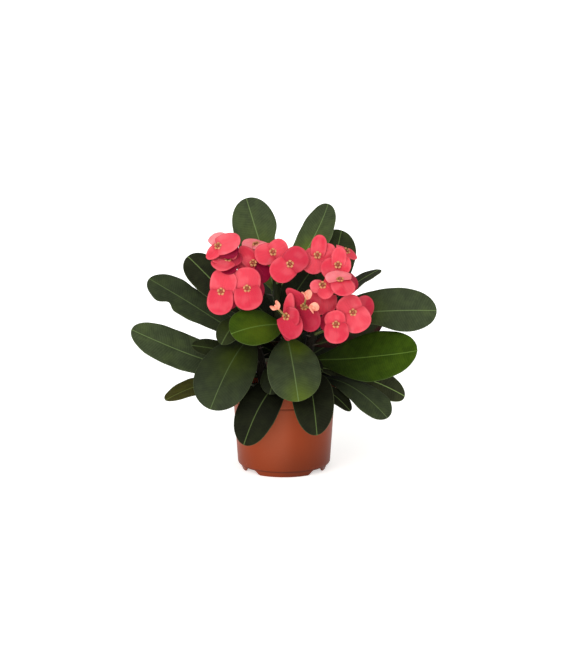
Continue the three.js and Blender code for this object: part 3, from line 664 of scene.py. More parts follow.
class Form:
    """The points and faces of one piece, and the marks that its finishes read at each point.

    On a blade, run, rib and rim are the millimetres from its foot, from its midrib and from its margin.
    On a stem run is the height over the soil, and on a thorn the share of its length.
    """

    MARKS = ("run", "rib", "rim", "under", "fresh", "shade")

    def __init__(self):
        self.points = []
        self.faces = []
        self.slots = []
        self.marks = {name: [] for name in self.MARKS}

    def loft(self, rings, slot=0, **marks):
        """Joins closed rings of points, in millimetres, one after another, and closes both ends."""
        rings = np.asarray(rings, float)
        rows, count, _ = rings.shape
        start = len(self.points)
        last = (rows - 1) * count
        sides = [(place, (place + 1) % count) for place in range(count)]
        faces = [
            (row + a, row + b, row + b + count, row + a + count)
            for row in range(0, last, count) for a, b in sides
        ]
        faces += [(b, a, last + count) for a, b in sides]
        faces += [(last + a, last + b, last + count + 1) for a, b in sides]
        self.faces.extend(tuple(start + corner for corner in face) for face in faces)
        self.slots.extend([slot] * len(faces))
        self.points.extend(rings.reshape(-1, 3).tolist())
        self.points.extend(rings[end].mean(axis=0).tolist() for end in (0, -1))
        for name, values in self.marks.items():
            grid = np.broadcast_to(np.asarray(marks.get(name, 0), float), (rows, count))
            values.extend([*grid.ravel().tolist(), grid[0].mean(), grid[-1].mean()])

    def mesh(self, name):
        """The form as a mesh in metres, with its marks."""
        mesh = bpy.data.meshes.new(name)
        mesh.from_pydata([[MM * part for part in point] for point in self.points], [], self.faces)
        mesh.polygons.foreach_set("material_index", self.slots)
        for mark, values in self.marks.items():
            if any(values):
                layer = mesh.attributes.new(mark, "FLOAT", "POINT")
                layer.data.foreach_set("value", values)
        return mesh

    def made(self, name, node, slot_name, finishes):
        """Makes the piece, hides the solid that it stands for and hangs it on the root body."""
        mesh = self.mesh(name)
        for finish in finishes:
            mesh.materials.append(finish)
        mesh.shade_smooth()
        mesh.validate()
        mesh.update()
        piece = placed(name, mesh)
        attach(piece, "root")
        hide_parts(node)
        return piece


def unit(vector):
    return vector / np.linalg.norm(vector, axis=-1, keepdims=True)


def round_angles(count):
    """Angles spaced evenly round a circle."""
    return np.arange(count) * 2 * math.pi / count


def ring(centre, first, second, radius, count):
    """A circle of points about a centre, in the plane of two directions."""
    angles = round_angles(count)[:, None]
    return centre + radius * np.cos(angles) * first + radius * np.sin(angles) * second


def level_ring(radii, heights, count):
    """A level ring of points about the upright axis."""
    angles = round_angles(count)
    return np.stack([radii * np.cos(angles), radii * np.sin(angles), heights + 0 * angles], axis=-1)


def crossways(direction):
    """Two directions square to one direction and to each other."""
    helper = np.array([0.0, 0.0, 1.0]) if abs(direction[2]) < 0.9 else np.array([1.0, 0.0, 0.0])
    first = unit(np.cross(helper, direction))
    return first, np.cross(direction, first)


def bead(form, centre, axes, slot, rows, count):
    """A small rounded lump. axes are its three half sizes, as vectors."""
    first, second, third = axes
    rings = []
    for row in range(1, rows):
        angle = math.pi * row / rows
        middle = centre - math.cos(angle) * third
        rings.append(ring(middle, first * math.sin(angle), second * math.sin(angle), 1, count))
    form.loft(rings, slot)
    # The end points move out from the flat caps to the ends of the lump.
    form.points[-2:] = [(centre - third).tolist(), (centre + third).tolist()]


def rod(form, points, radii, slot, count, **marks):
    """A round rod through points, with a radius at each."""
    points = np.asarray(points, float)
    directions = unit(np.gradient(points, axis=0))
    first, _ = crossways(directions[0])
    rings = []
    for centre, direction, radius in zip(points, directions, radii):
        first = unit(first - direction * np.dot(first, direction))
        rings.append(ring(centre, first, np.cross(direction, first), radius, count))
    form.loft(rings, slot, **marks)


def bezier(start, bend, end, count):
    """Points along a curve with one bend."""
    share = np.linspace(0, 1, count)[:, None]
    return (1 - share) ** 2 * start + 2 * share * (1 - share) * bend + share**2 * end


# ---- blades: leaves and bracts --------------------------------------------------------------

MARGIN_BULGE = 0.22  # how far a blade's rounded margin stands out
NEARLY_TIP = 0.9995  # the place of a blade's last row of points
LEAST_SHADE = 0.08


def blade_share(blade, along, side):
    """Half the width of a blade at a place along it, as a share of its greatest half width."""
    fullest, petiole = blade["fullest"], blade["petiole"]
    low = np.clip(1 - along / fullest, 0, 1)
    high = np.clip((along - fullest) / (1 - fullest), 0, 1)
    rising = petiole + (1 - petiole) * (1 - low**2) ** blade["taper"]
    closing = np.sqrt(np.clip(1 - high ** blade["tip"], 0, 1))
    share = np.where(along < fullest, rising, closing)
    for pinched, at, depth, spread in blade["pinches"]:
        bay = 1 - depth * np.exp(-(((along - at) / spread) ** 2))
        share = np.where(side == pinched, share * bay, share)
    return share


def blade_places(blade, base_count, tip_count, bunching, start):
    """Places along a blade at which it gets a row of points, closer together towards its tip."""
    fullest = blade["fullest"]
    base = start + (fullest - start) * (np.arange(base_count) / base_count) ** bunching
    tip = fullest + (1 - fullest) * np.sin(math.pi / 2 * np.arange(tip_count) / tip_count)
    return np.concatenate([base, tip, [NEARLY_TIP]])


def add_blade(form, blade, relief, slot, base_count, tip_count, columns, bunching=1, start=0.0):
    """Adds a blade with an upper face, a lower face and a rounded margin.

    relief gives how far the sheet is lifted and how much thicker it is on its lower face.
    """
    reach, half = blade["length"], blade["width"] / 2
    spread = np.linspace(-1, 1, columns)
    spread = np.sign(spread) * np.abs(spread) ** 1.25
    across = np.concatenate([spread, [1], spread[::-1], [-1]])[None, :]
    face = np.concatenate([np.ones(columns), [0], -np.ones(columns), [0]])[None, :]
    bulge = np.where(face == 0, np.sign(across), 0) * MARGIN_BULGE
    along = blade_places(blade, base_count, tip_count, bunching, start)[:, None]

    share = blade_share(blade, along, np.sign(across))
    bow = 4 * along * (1 - along)
    slope = 4 * blade["arch"] * (1 - 2 * along) / reach
    forward, side, up = blade["forward"], blade["side"], blade["up"]
    normal = unit(up - slope[..., None] * forward)
    rib = across * share * half
    run = along * reach + 0 * rib
    lift, keel = relief(blade["seed"], along, across, rib, run, share)
    thickness = blade["edge"] + (blade["mid"] - blade["edge"]) * (1 - np.abs(across)) ** 2
    taper = np.clip(share / 0.25, 0.35, 1)
    points = (
        blade["base"]
        + run[..., None] * forward
        + (blade["arch"] * bow + blade["dome"] * across**2 * share + lift)[..., None] * up
        + (rib + bulge * taper + blade["sway"] * bow)[..., None] * side
        + (face * thickness * taper / 2 - np.where(face < 0, keel, 0))[..., None] * normal
    )
    inset = (1 - np.abs(across)) * share * half
    # Painted light and shade from the foot to the tip, and patches of painted light shining through the
    # blade.
    foot_shade, tip_shade = blade["shade"]
    fresh = np.full_like(rib, blade["pale"])
    for at, sideways, size, strength in blade["fresh"]:
        away = (run - at * reach) ** 2 + (rib - sideways * half) ** 2 * 1.6
        fresh += strength * np.exp(-away / (size * reach) ** 2)
    form.loft(
        points, slot, run=run, rib=rib, rim=np.minimum(inset, (1 - along) * reach * 0.8),
        fresh=fresh, shade=np.maximum(LEAST_SHADE, foot_shade + (tip_shade - foot_shade) * along),
        under=(1 - face) / 2,
    )


def leaf_relief(seed, along, across, rib, run, share):
    """The midrib's groove and keel, the rippled margin and the soft swell of a leaf."""
    ripple = 0.55 * np.sin(run / 7.5 + seed + np.sign(across)) * np.abs(across) ** 3 * share
    ripple += 0.35 * np.sin(run / 3.4 + 2.3 * seed) * np.abs(across) ** 6 * share
    swell = 0.35 * np.sin(run / 11 + seed * 1.7) * np.cos(rib / 9 + seed)
    groove = 0.4 * np.exp(-((rib / 1.3) ** 2)) * np.clip(share * 2, 0, 1)
    keel = 0.75 * np.exp(-((rib / 1.2) ** 2)) * (1 - 0.7 * along)
    trough = 0.6 * np.abs(across) ** 1.5 * share
    return ripple + swell - groove + trough - 0.3, keel


def bract_relief(seed, along, across, rib, run, share):
    """The shallow crease, the faint wrinkles and the curling margin of a bract, which has no keel."""
    crease = 0.3 * np.exp(-((rib / 1.4) ** 2)) * np.sin(math.pi * along)
    curl = 0.9 * np.sin(4.5 * along + seed + 1.4 * np.sign(across)) * np.abs(across) ** 2 * share
    wrinkle = 0.07 * np.sin(rib * 1.9 + seed) * np.sin(math.pi * along)
    tip = 0.5 * np.sin(seed * 3.1) * along**4
    return curl + wrinkle - crease + tip, 0 * rib


# ---- stems ----------------------------------------------------------------------------------


def stem_risen(stem, height):
    """How far up a stem a height is, from 0 at the soil to 1 at its tip."""
    return np.maximum(0, (height - SOIL_EDGE) / (stem["tip"][2] - SOIL_EDGE))


def stem_axis(stem, height):
    """The middle of a stem at a height. It leans further the higher it gets."""
    risen = stem_risen(stem, height)
    foot, tip = np.array(stem["foot"], float), np.array(stem["tip"][:2], float)
    return np.append(foot + (tip - foot) * risen * (0.6 + 0.4 * risen), height)


def stem_radius(stem, height):
    return STEM_FOOT + (STEM_TIP - STEM_FOOT) * np.minimum(1, stem_risen(stem, height))


def leaf_blade(row, seed):
    """The blade of a leaf that starts inside its stem."""
    stem = STEMS[row["stem"]]
    heading, rise, roll = (math.radians(row[name]) for name in ("heading", "rise", "roll"))
    outward = np.array([math.cos(heading), math.sin(heading), 0])
    forward = outward * math.cos(rise) + np.array([0, 0, math.sin(rise)])
    level = unit(np.cross([0, 0, 1], forward))
    side = level * math.cos(roll) + np.cross(forward, level) * math.sin(roll)
    base = stem_axis(stem, row["height"]) + outward * (stem_radius(stem, row["height"]) - LEAF_SUNK)
    return {
        **row, "forward": forward, "side": side, "up": np.cross(forward, side), "base": base, "seed": seed
    }


def add_leaf(form, row, seed, slot, fineness=1.0):
    blade = leaf_blade(row, seed)
    add_blade(
        form, blade, leaf_relief, slot, base_count=round(30 * fineness),
        tip_count=round(18 * fineness), columns=2 * round(11 * fineness) + 1,
        start=(LEAF_SUNK - 0.8) / blade["length"],
    )


def thorn_obstacles():
    """Points down every large leaf's midrib, each with the blade's half width there."""
    found = []
    for row in LEAVES:
        blade = leaf_blade(row, 0)
        for along in np.arange(0, 1.0001, 0.04):
            bow = 4 * along * (1 - along)
            point = blade["base"] + blade["forward"] * along * blade["length"]
            point = point + bow * (blade["up"] * blade["arch"] + blade["side"] * blade["sway"])
            found.append((point, blade_share(blade, along, 1) * blade["width"] / 2))
    return found


def add_bark(form, name, stem, slot):
    """A stem's uneven bark with its leaf scars, up to the rounded growing tip."""
    top = stem["tip"][2]
    seed = sum(ord(letter) for letter in name)
    scars = []
    bearing = stem["young"][0] + 70
    for height in np.arange(SOIL_CROWN + 5, top - 4, SCAR_PITCH):
        bearing += THORN_TURN
        scars.append((height, math.radians(bearing)))
    angles = round_angles(BARK_SIDES)
    rings = []
    for height in [SOIL_EDGE - ROOT_DEPTH, *np.arange(SOIL_EDGE - 4, top - 1, BARK_STEP)]:
        radii = np.full(BARK_SIDES, float(stem_radius(stem, height)))
        for place, angle in enumerate(angles):
            where = Vector((math.cos(angle) * 3.2, math.sin(angle) * 3.2, height * 0.16 + seed))
            radii[place] += 0.32 * noise.noise(where) + 0.16 * noise.noise(where * 2.7)
        for at, turn in scars:
            if abs(height - at) < 3:
                off = (angles - turn + math.pi) % (2 * math.pi) - math.pi
                rise = math.exp(-(((height - at) / 1.2) ** 2))
                radii += 0.5 * rise * np.exp(-((off / 0.32) ** 2))
        rings.append(stem_axis(stem, height) + level_ring(radii, 0, BARK_SIDES))
    for step in (0.45, 0.75, 0.93):
        centre = stem_axis(stem, top) + np.array([0, 0, 2 * step - 1.2])
        rings.append(centre + level_ring(STEM_TIP * math.sqrt(1 - step**2), 0, BARK_SIDES))
    form.loft(rings, slot, run=np.array(rings)[:, :1, 2] - SOIL_EDGE)


def add_thorns(form, stem, settings, obstacles, slot):
    """Thorns that wind up a stem. Those that would run into a large leaf are left off."""
    rise = math.radians(THORN_RISE)
    bearing = stem["young"][0]
    reach = settings.thorn_length / MM + THORN_SUNK
    share = np.array([0, 0.14, 0.24, 0.42, 0.64, 0.84, 0.96])[:, None]
    radii = settings.thorn_radius / MM * np.array([1.7, 1.6, 1.05, 0.8, 0.5, 0.24, 0.06])
    first, last = SOIL_CROWN + THORNS_ABOVE_SOIL, stem["tip"][2] - THORNS_BELOW_TIP
    for height in np.arange(first, last, THORN_PITCH):
        bearing += THORN_TURN
        turn = math.radians(bearing)
        level = math.cos(rise)
        direction = np.array([math.cos(turn) * level, math.sin(turn) * level, math.sin(rise)])
        root = stem_axis(stem, height) + direction * (stem_radius(stem, height) - THORN_SUNK)
        point = root + direction * reach
        middle = root + 0.6 * (point - root)
        if any(
            np.linalg.norm(at - point) < near + 2.5 or np.linalg.norm(at - middle) < near + 2
            for at, near in obstacles
        ):
            continue
        path = root + share * (point - root) + share**2 * 0.5 * np.array([0, 0, -1])
        rod(form, path, radii, slot, count=8, run=share)


def add_small_leaves(form, name, stem, slots):
    """The young leaves at a stem's growing tip, and its small inner leaves."""
    for turn, heading in enumerate(stem["young"]):
        row = leaf(
            name, stem["tip"][2] - YOUNG_LEAF["below"] + 2 * turn, heading, YOUNG_LEAF["rise"],
            YOUNG_LEAF["reach"] - 4 * turn, YOUNG_LEAF["width"], 3, 0, "bright",
        )
        add_leaf(form, row, turn + 1.0, slots["bright"], 0.6)
    for which, row in enumerate(INNER_LEAVES):
        if row["stem"] == name:
            add_leaf(form, row, which * 1.3, slots[row["tone"]], 0.7)


# ---- flowers --------------------------------------------------------------------------------


def bloom_frame(row):
    """The directions that a bloom is built on: out of its mouth, upright across it, and right."""
    heading, tilt = math.radians(row["heading"]), math.radians(row["tilt"])
    level = math.cos(tilt)
    out = np.array([math.sin(heading) * level, -math.cos(heading) * level, math.sin(tilt)])
    upright = unit(np.array([0, 0, 1.0]) - out * out[2])
    return out, upright, np.cross(upright, out)


def bract_blade(mouth, directions, row, sunk, seed):
    """One round bract, from the middle of a bloom outwards."""
    out, upright, right = directions
    turn, fold, radius = math.radians(row["turn"]), math.radians(row["fold"]), row["radius"]
    outward = upright * math.cos(turn) + right * math.sin(turn)
    forward = outward * math.cos(fold) + out * math.sin(fold)
    side = np.cross(out, outward)
    # Bracts that point up get more painted highlight, and those that point down more painted shade.
    blade = dict(BRACT_HABIT)
    blade.update(
        forward=forward, side=side, up=np.cross(forward, side), seed=seed,
        base=mouth - out * sunk - forward * BRACT_OVERLAP * radius, length=BRACT_LENGTH * radius,
        width=2 * row["breadth"] * radius, tip=row["tip"], pale=row["pale"] + 0.09 * math.cos(turn),
    )
    return blade


def add_cup(form, mouth, directions, slots, gland_ring):
    """The flower proper: a small cup with five nectar glands, red lobes and its stamens."""
    out, upright, right = directions
    profile = [
        (1.1, CUP_PROUD - CUP_HEIGHT), (1.5, -2.9), (1.9, -1.6), (2.5, -0.5), (2.9, 0.3),
        (2.7, 0.75), (2.3, 0.85), (1.9, 0.5), (1.5, -0.3), (0.9, -0.7),
    ]
    rings = [ring(mouth + out * height, right, upright, radius, 20) for radius, height in profile]
    form.loft(rings, slots["cup"])

    def at(angle, radius, height):
        """A place in the bloom, and the direction of its angle."""
        away = right * math.cos(angle) + upright * math.sin(angle)
        return mouth + away * radius + out * height, away

    for place in range(5):
        angle = 2 * math.pi * (place + 0.25) / 5
        centre, away = at(angle, gland_ring, 0.8)
        lean = unit(away - 0.35 * out)
        beside = np.cross(out, away)
        axes = (lean * 1.05, beside * 1.75, np.cross(lean, beside) * 0.36)
        bead(form, centre, axes, slots["gland"], rows=6, count=12)
        between = angle + math.pi / 5
        path = [at(between, *spot)[0] for spot in ((1.7, 0.5), (1.6, 1.1), (1.2, 1.6))]
        rod(form, path, (0.5, 0.42, 0.1), slots["lobe"], count=6)
    for place in range(6):
        angle = 2 * math.pi * place / 6 + 0.4
        tall = 1.5 + 0.5 * (place % 2)
        path = [at(angle, *spot)[0] for spot in ((0.3, -0.7), (0.6, tall / 2), (0.75, tall))]
        rod(form, path, (0.16, 0.15, 0.14), slots["lobe"], count=5)
        axes = (right * 0.34, upright * 0.34, out * 0.26)
        bead(form, path[-1], axes, slots["gland"], rows=4, count=6)


def add_bud(form, mouth, point, slots, seed):
    """A young bud on its own short stalk, with its first two small bracts half open."""
    direction = unit(point - mouth)
    upright = unit(np.cross([1.0, 0, 0], direction))
    directions = (direction, upright, np.cross(upright, direction))
    path = bezier(mouth, (mouth + point) / 2 + np.array([0, 0, -0.6]), point, 8)
    rod(form, path, np.linspace(BUD["stalk"], BUD["stalk"] * 1.25, 8), slots["stalk"], count=10)
    rings = []
    for place in np.linspace(-0.96, 0.98, 11):
        radius = BUD["radius"] * math.sqrt(1 - place**2) * (1 - 0.22 * place)
        centre = point + direction * BUD["length"] / 2 * place
        rings.append(ring(centre, directions[1], directions[2], radius, 14))
    form.loft(rings, slots["bud"])
    for row in BUD["bracts"]:
        blade = bract_blade(point, directions, row, 1, seed + row["turn"])
        add_blade(
            form, blade, bract_relief, slots["bud"], base_count=7, tip_count=7, columns=11, bunching=1.3
        )


def add_bloom(form, row, slots, settings, seed):
    """A bloom with its cup, its bracts and any buds that grow from its cup."""
    directions = bloom_frame(row)
    mouth = np.array(row["mouth"], float)
    for which, sheet in enumerate(row["bracts"]):
        blade = bract_blade(mouth, directions, sheet, BRACT_SUNK[which], seed + 2.1 * which)
        add_blade(
            form, blade, bract_relief, slots["bract"], base_count=12, tip_count=13, columns=19,
            bunching=1.4, start=0.1,
        )
    add_cup(form, mouth, directions, slots, settings.gland_ring / MM)
    for which, bud in enumerate(row["buds"]):
        add_bud(form, mouth, np.array(bud, float), slots, seed + which)


def add_cyme(form, row):
    """A forked flower stalk with two small scales at each fork, up to the foot of each bloom."""
    start = stem_axis(STEMS[row["stem"]], row["height"])
    forks = [np.array(fork[:3], float) for fork in row["forks"]]
    thick = STALK_RADIUS * (1 + 0.12 * np.cos(2 * math.pi * np.linspace(0, 1, 14)))
    knuckle = STALK_RADIUS * 1.3
    for fork, (*_, before) in zip(forks, row["forks"]):
        begin = start if before < 0 else forks[before]
        rod(form, bezier(begin, (begin + fork) / 2, fork, 14), thick, 0, count=12)
        bead(form, fork, np.eye(3) * knuckle, 0, rows=8, count=12)
        along = unit(fork - begin)
        first, second = crossways(along)
        for way in (first, -first):
            middle = fork + way * (knuckle + 1.2) + along * 1.8
            axes = (second * 5, way * 0.5, along * 4.8 + way * 2)
            bead(form, middle, axes, 1, rows=8, count=12)
    radii = PEDICEL_RADIUS * (1 + 0.18 * np.linspace(0, 1, 16) ** 6)
    for flower in row["blooms"]:
        out, _, _ = bloom_frame(flower)
        foot = np.array(flower["mouth"], float) + out * (CUP_PROUD - CUP_HEIGHT - GAP + 0.4)
        begin = forks[flower["fork"]]
        bend = foot - out * 0.5 * np.linalg.norm(begin - foot)
        rod(form, bezier(begin, bend, foot, 16), radii, 0, count=10)


# ---- pot and soil ---------------------------------------------------------------------------


def pot_profile(rim):
    """The pot's outline from the middle of its underside, over its rim, to the middle of its floor."""
    foot, heel, shoulder, ledge = FOOT_RADIUS, HEEL_RADIUS, SHOULDER_RADIUS, LEDGE_HEIGHT
    band = rim - WALL
    return [
        (0.01, FOOT_HEIGHT + 0.2), (20, FOOT_HEIGHT + 0.12), (36, FOOT_HEIGHT + 0.05),
        (FOOT_INNER - 0.4, FOOT_HEIGHT), (FOOT_INNER - 0.1, FOOT_HEIGHT - 0.3), (FOOT_INNER, 0.5),
        (FOOT_INNER + 0.3, 0.08), (FOOT_INNER + 0.6, 0), (foot - 0.8, 0), (foot - 0.4, 0.12),
        (foot - 0.1, 0.45), (foot + 0.1, 1.1), (foot + 0.8, 3.2), (foot + 1.5, 5.2),
        (foot + 1.8, 5.6), (foot + 2.4, 5.9), (foot + 3.1, 6.2), (heel - 1.1, 6.7), (heel - 0.5, 7.4),
        (heel - 0.15, 8.2), (heel, HEEL_HEIGHT), (heel + 0.15, 11), (52.7, 44), (shoulder - 0.1, 76),
        (shoulder, ledge - 0.6), (shoulder + 0.3, ledge - 0.1), (shoulder + 1.2, ledge + 0.1),
        (rim - 1.7, ledge + 0.25), (rim - 1.1, ledge + 0.45), (rim - 0.85, ledge + 1),
        (rim - 0.8, ledge + 2), (rim - 0.4, ledge + 8), (rim, POT_HEIGHT - 1.1),
        (rim, POT_HEIGHT - 0.6), (rim - 0.15, POT_HEIGHT - 0.2), (rim - 0.45, POT_HEIGHT),
        (band + 0.25, POT_HEIGHT), (band, POT_HEIGHT - 0.3), (band - 0.2, POT_HEIGHT - 3),
        (band - 0.9, ledge + WALL + 0.5), (band - 1.4, ledge + WALL),
        (shoulder - WALL + 0.4, ledge + WALL - 0.1), (shoulder - WALL, ledge + WALL - 0.6),
        (heel - WALL, HEEL_HEIGHT), (heel - WALL - 0.6, FLOOR_TOP + 0.6), (heel - WALL - 2, FLOOR_TOP),
        (30, FLOOR_TOP), (0.01, FLOOR_TOP),
    ]


def notch_share(angle):
    """How far the foot ring is cut away at an angle about the pot, from 0 to 1."""
    share = 0.0
    for bearing in NOTCH_BEARINGS:
        off = (angle - math.radians(bearing - 90) + math.pi) % (2 * math.pi) - math.pi
        slope = min(1.0, max(0.0, (NOTCH_REACH - abs(off) * FOOT_RADIUS) / NOTCH_SLOPE))
        share = max(share, slope * slope * (3 - 2 * slope))
    return share


def add_pot(form, settings):
    """The pot's shell. Its foot ring rises to the underside at the notches."""
    shares = np.array([notch_share(angle) for angle in round_angles(settings.sides)])
    top = FOOT_HEIGHT - 0.3
    rings = []
    for radius, height in pot_profile(settings.rim_radius / MM):
        radii, heights = np.full(settings.sides, float(radius)), np.full(settings.sides, float(height))
        if height < top:
            heights += (top - height) * shares
            edge = FOOT_RADIUS + 1.5 if radius > FOOT_INNER + 0.8 else FOOT_INNER - 0.05
            radii += (edge - radius) * shares
        rings.append(level_ring(radii, heights, settings.sides))
    form.loft(rings[::-1])


def cut_drains(piece):
    """Opens the drain holes in the pot's floor."""
    form = Form()
    for angle in round_angles(DRAIN_COUNT):
        centre = np.array([DRAIN_RING * math.cos(angle), DRAIN_RING * math.sin(angle), 0])
        form.loft([centre + level_ring(DRAIN_RADIUS, height, DRAIN_SIDES) for height in (2, 10)])
    cutter = placed("drain_cutter", form.mesh("drain_cutter"))
    cut = piece.modifiers.new("Drain holes", "BOOLEAN")
    cut.operation = "DIFFERENCE"
    cut.solver = "EXACT"
    cut.object = cutter
    graph = bpy.context.evaluated_depsgraph_get()
    opened = bpy.data.meshes.new_from_object(piece.evaluated_get(graph))
    piece.modifiers.clear()
    piece.data = opened
    bpy.data.objects.remove(cutter)


def soil_height(x, y):
    """The crumbly top of the soil at a place in the pot."""
    far = math.hypot(x, y) / SOIL_RADIUS
    rise = SOIL_CROWN - 0.4 - (SOIL_CROWN - SOIL_EDGE) * far**2.2
    rough = 1.3 * noise.fractal(Vector((x * 0.09, y * 0.09, 3.7)), 1.0, 2.1, 5)
    fine = 0.5 * noise.noise(Vector((x * 0.55, y * 0.55, 9.1)))
    return rise + (rough + fine) * min(1.0, (1.02 - far) * 12)


def add_root_ball(form, sides=120):
    """The soil that fills the pot, with its crumbly top."""
    shoulder = SHOULDER_RADIUS - WALL - GAP - 0.1
    heel = HEEL_RADIUS - WALL - GAP
    floor = FLOOR_TOP + GAP
    ledge = LEDGE_HEIGHT + WALL + GAP
    profile = [
        (0.5, floor), (heel - 2.2, floor), (heel - 0.1, HEEL_HEIGHT + 0.2), (shoulder, ledge - 0.5),
        (shoulder, ledge), (SOIL_RADIUS, ledge), (SOIL_RADIUS, SOIL_EDGE - 1.2),
    ]
    rings = [level_ring(radius, height, sides) for radius, height in profile]
    for radius in np.linspace(SOIL_RADIUS, 0.8, 44):
        points = level_ring(radius, 0, sides)
        points[:, 2] = [soil_height(x, y) for x, y, _ in points]
        rings.append(points)
    form.loft(rings)


def scattered(chance, reach):
    """A place picked at random on the soil."""
    far = reach * math.sqrt(chance.random())
    turn = chance.uniform(0, 2 * math.pi)
    return far * math.cos(turn), far * math.sin(turn)


def add_crumbs(form, count, chance):
    """Loose crumbs of peat, and a grain of perlite now and then."""
    for number in range(count):
        x, y = scattered(chance, SOIL_RADIUS - 1.8)
        size = chance.uniform(0.5, 1.7)
        axes = np.array([[chance.gauss(0, 1) for _ in range(3)] for _ in range(3)])
        first = unit(axes[0])
        second = unit(np.cross(first, axes[1]))
        squash = chance.uniform(0.5, 0.9)
        centre = np.array([x, y, soil_height(x, y) + size * 0.3])
        sizes = (first * size, second * size * squash, np.cross(first, second) * size * 0.7)
        begin = len(form.points)
        slot = 1 if number % PERLITE_EVERY == 0 else 0
        bead(form, centre, sizes, slot, rows=4, count=6)
        for place in range(begin, len(form.points)):
            jitter = [chance.uniform(-0.16, 0.16) * size for _ in range(3)]
            form.points[place] = [a + b for a, b in zip(form.points[place], jitter)]


def add_fibres(form, count, chance):
    """Short bent fibres that lie on the soil."""
    for _ in range(count):
        x, y = scattered(chance, SOIL_RADIUS - 3.3)
        heading = chance.uniform(0, 2 * math.pi)
        reach = chance.uniform(3, 8)
        path = []
        for share in (-0.5, -0.2, 0.1, 0.5):
            px = x + math.cos(heading + share) * reach * share
            py = y + math.sin(heading + share) * reach * share
            path.append((px, py, soil_height(px, py) + 0.35 + 0.5 * (0.25 - share**2)))
        rod(form, path, (0.1, 0.24, 0.22, 0.08), 2, count=5)


# ---- settings -------------------------------------------------------------------------------


def tint(code):
    """The linear colour of a hex code."""
    shares = [int(code[place : place + 2], 16) / 255 for place in (0, 2, 4)]
    return tuple(s / 12.92 if s <= 0.04045 else ((s + 0.055) / 1.055) ** 2.4 for s in shares)


def colour(name, description, code):
    """A colour that a user can change."""
    return FloatVectorProperty(
        name=name, description=description, subtype="COLOR", size=3, min=0, max=1, default=tint(code)
    )


def distance(name, description, default):
    """A length that a user can change."""
    return FloatProperty(
        name=name, description=description, default=default, min=0, unit="LENGTH", subtype="DISTANCE"
    )


def degrees(name, description, default):
    """An angle that a user can change."""
    return FloatProperty(
        name=name, description=description, default=math.radians(default),
        unit="ROTATION", subtype="ANGLE",
    )


def amount(name, description, default, least, most, subtype="NONE"):
    """A plain number that a user can change."""
    return FloatProperty(
        name=name, description=description, default=default, min=least, max=most, subtype=subtype
    )


def whole(name, description, default, least, most):
    """A whole number that a user can change."""
    return IntProperty(name=name, description=description, default=default, min=least, max=most)


class PotSettings(bpy.types.PropertyGroup):
    rim_radius: distance("Rim radius", "Radius of the pot over its rim", POT_RADIUS)
    sides: whole("Sides", "How many faces run round the pot", 192, 48, 360)
    plastic: colour("Plastic", "Terracotta colour of the pot", "863514")
    # The rubbed colour also paints the highlight band on the pot.
    rubbed: colour("Rubbed plastic", "Colour where the plastic is scuffed", "c08a72")


class SoilSettings(bpy.types.PropertyGroup):
    crumbs: whole("Crumbs", "How many loose crumbs lie on the soil", 620, 0, 2000)
    peat: colour("Peat", "Colour of the moist peat", "1f1610")
    fibre: colour("Fibre", "Colour of the fibres in the peat", "6b4e35")
    perlite: colour("Perlite", "Colour of the perlite grains", "cfc9ba")


class StemSettings(bpy.types.PropertyGroup):
    thorn_length: distance("Thorn length", "How far a thorn stands out of its stem", 0.009)
    thorn_radius: distance("Thorn radius", "Radius of a thorn near its foot", 0.0009)
    # The bark and shoot colours are dark partly as painted shade in the middle of the plant.
    bark: colour("Bark", "Colour of the old bark", "1f1a13")
    shoot: colour("Shoot", "Colour of the green bark near the tips", "23280f")
    lichen: colour("Lichen", "Colour of the pale blotches on the bark", "3a362b")
    thorn: colour("Thorn", "Colour of the thorns", "4a4236")


class LeafSettings(bpy.types.PropertyGroup):
    vein_spacing: distance("Vein spacing", "Distance between side veins", 0.0028)
    gloss_roughness: amount("Gloss roughness", "Roughness of a leaf's upper face", 0.5, 0.05, 1, "FACTOR")
    # The deep and shaded tones are partly painted shade, for leaves inside and under the plant; the bright
    # tone is partly painted light shining through two large leaves.
    slate: colour("Slate leaf", "Grey-green of the grown leaves", "2e3622")
    deep: colour("Deep leaf", "Dark green of the inner leaves", "222814")
    shaded: colour("Shaded leaf", "Blackish green of the oldest leaves", "14160c")
    bright: colour("Bright leaf", "Fresh green of the young leaves", "283b05")
    olive: colour("Olive leaf", "Brownish green of a fading leaf", "2c2b0b")
    # Yellow-green of the patches of painted light shining through leaves, and of the pale drifts in their
    # green.
    fresh: colour("Fresh patch", "Yellow-green where new tissue shows", "4a5a0c")
    midrib: colour("Midrib", "Colour of the midrib", "7f9a55")
    margin: colour("Margin", "Colour of the thin pale margin", "77845a")
    underside: colour("Underside", "Colour of a leaf's back", "2c331c")
    flush: colour("Flush", "Wine-red flush on a leaf's back", "3a1013")


class BloomSettings(bpy.types.PropertyGroup):
    gland_ring: distance("Gland ring", "Radius of the ring of nectar glands", 0.0033)
    coral: colour("Coral", "Colour of a fresh bract", "c83444")
    rose: colour("Rose", "Deeper colour of a bract's back", "b81e38")
    crimson: colour("Crimson", "Dark red of the bracts that lie in the shade", "7a0226")
    # Pale pink of the painted highlights and painted sheen on the bracts.
    highlit: colour("Faded", "Colour of a faded bract and of its velvet", "f08c90")
    gland: colour("Gland", "Colour of the nectar glands", "c48350")
    cup: colour("Cup", "Colour of the cup", "a06a34")
    lobe: colour("Lobe", "Brownish red of the lobes and stamens", "8a4426")
    bud: colour("Bud", "Salmon colour of the buds", "f0967c")
    stalk: colour("Stalk", "Colour of the flower stalks", "66713a")
    stalk_flush: colour("Stalk flush", "Red flush on the flower stalks", "7a3d2b")


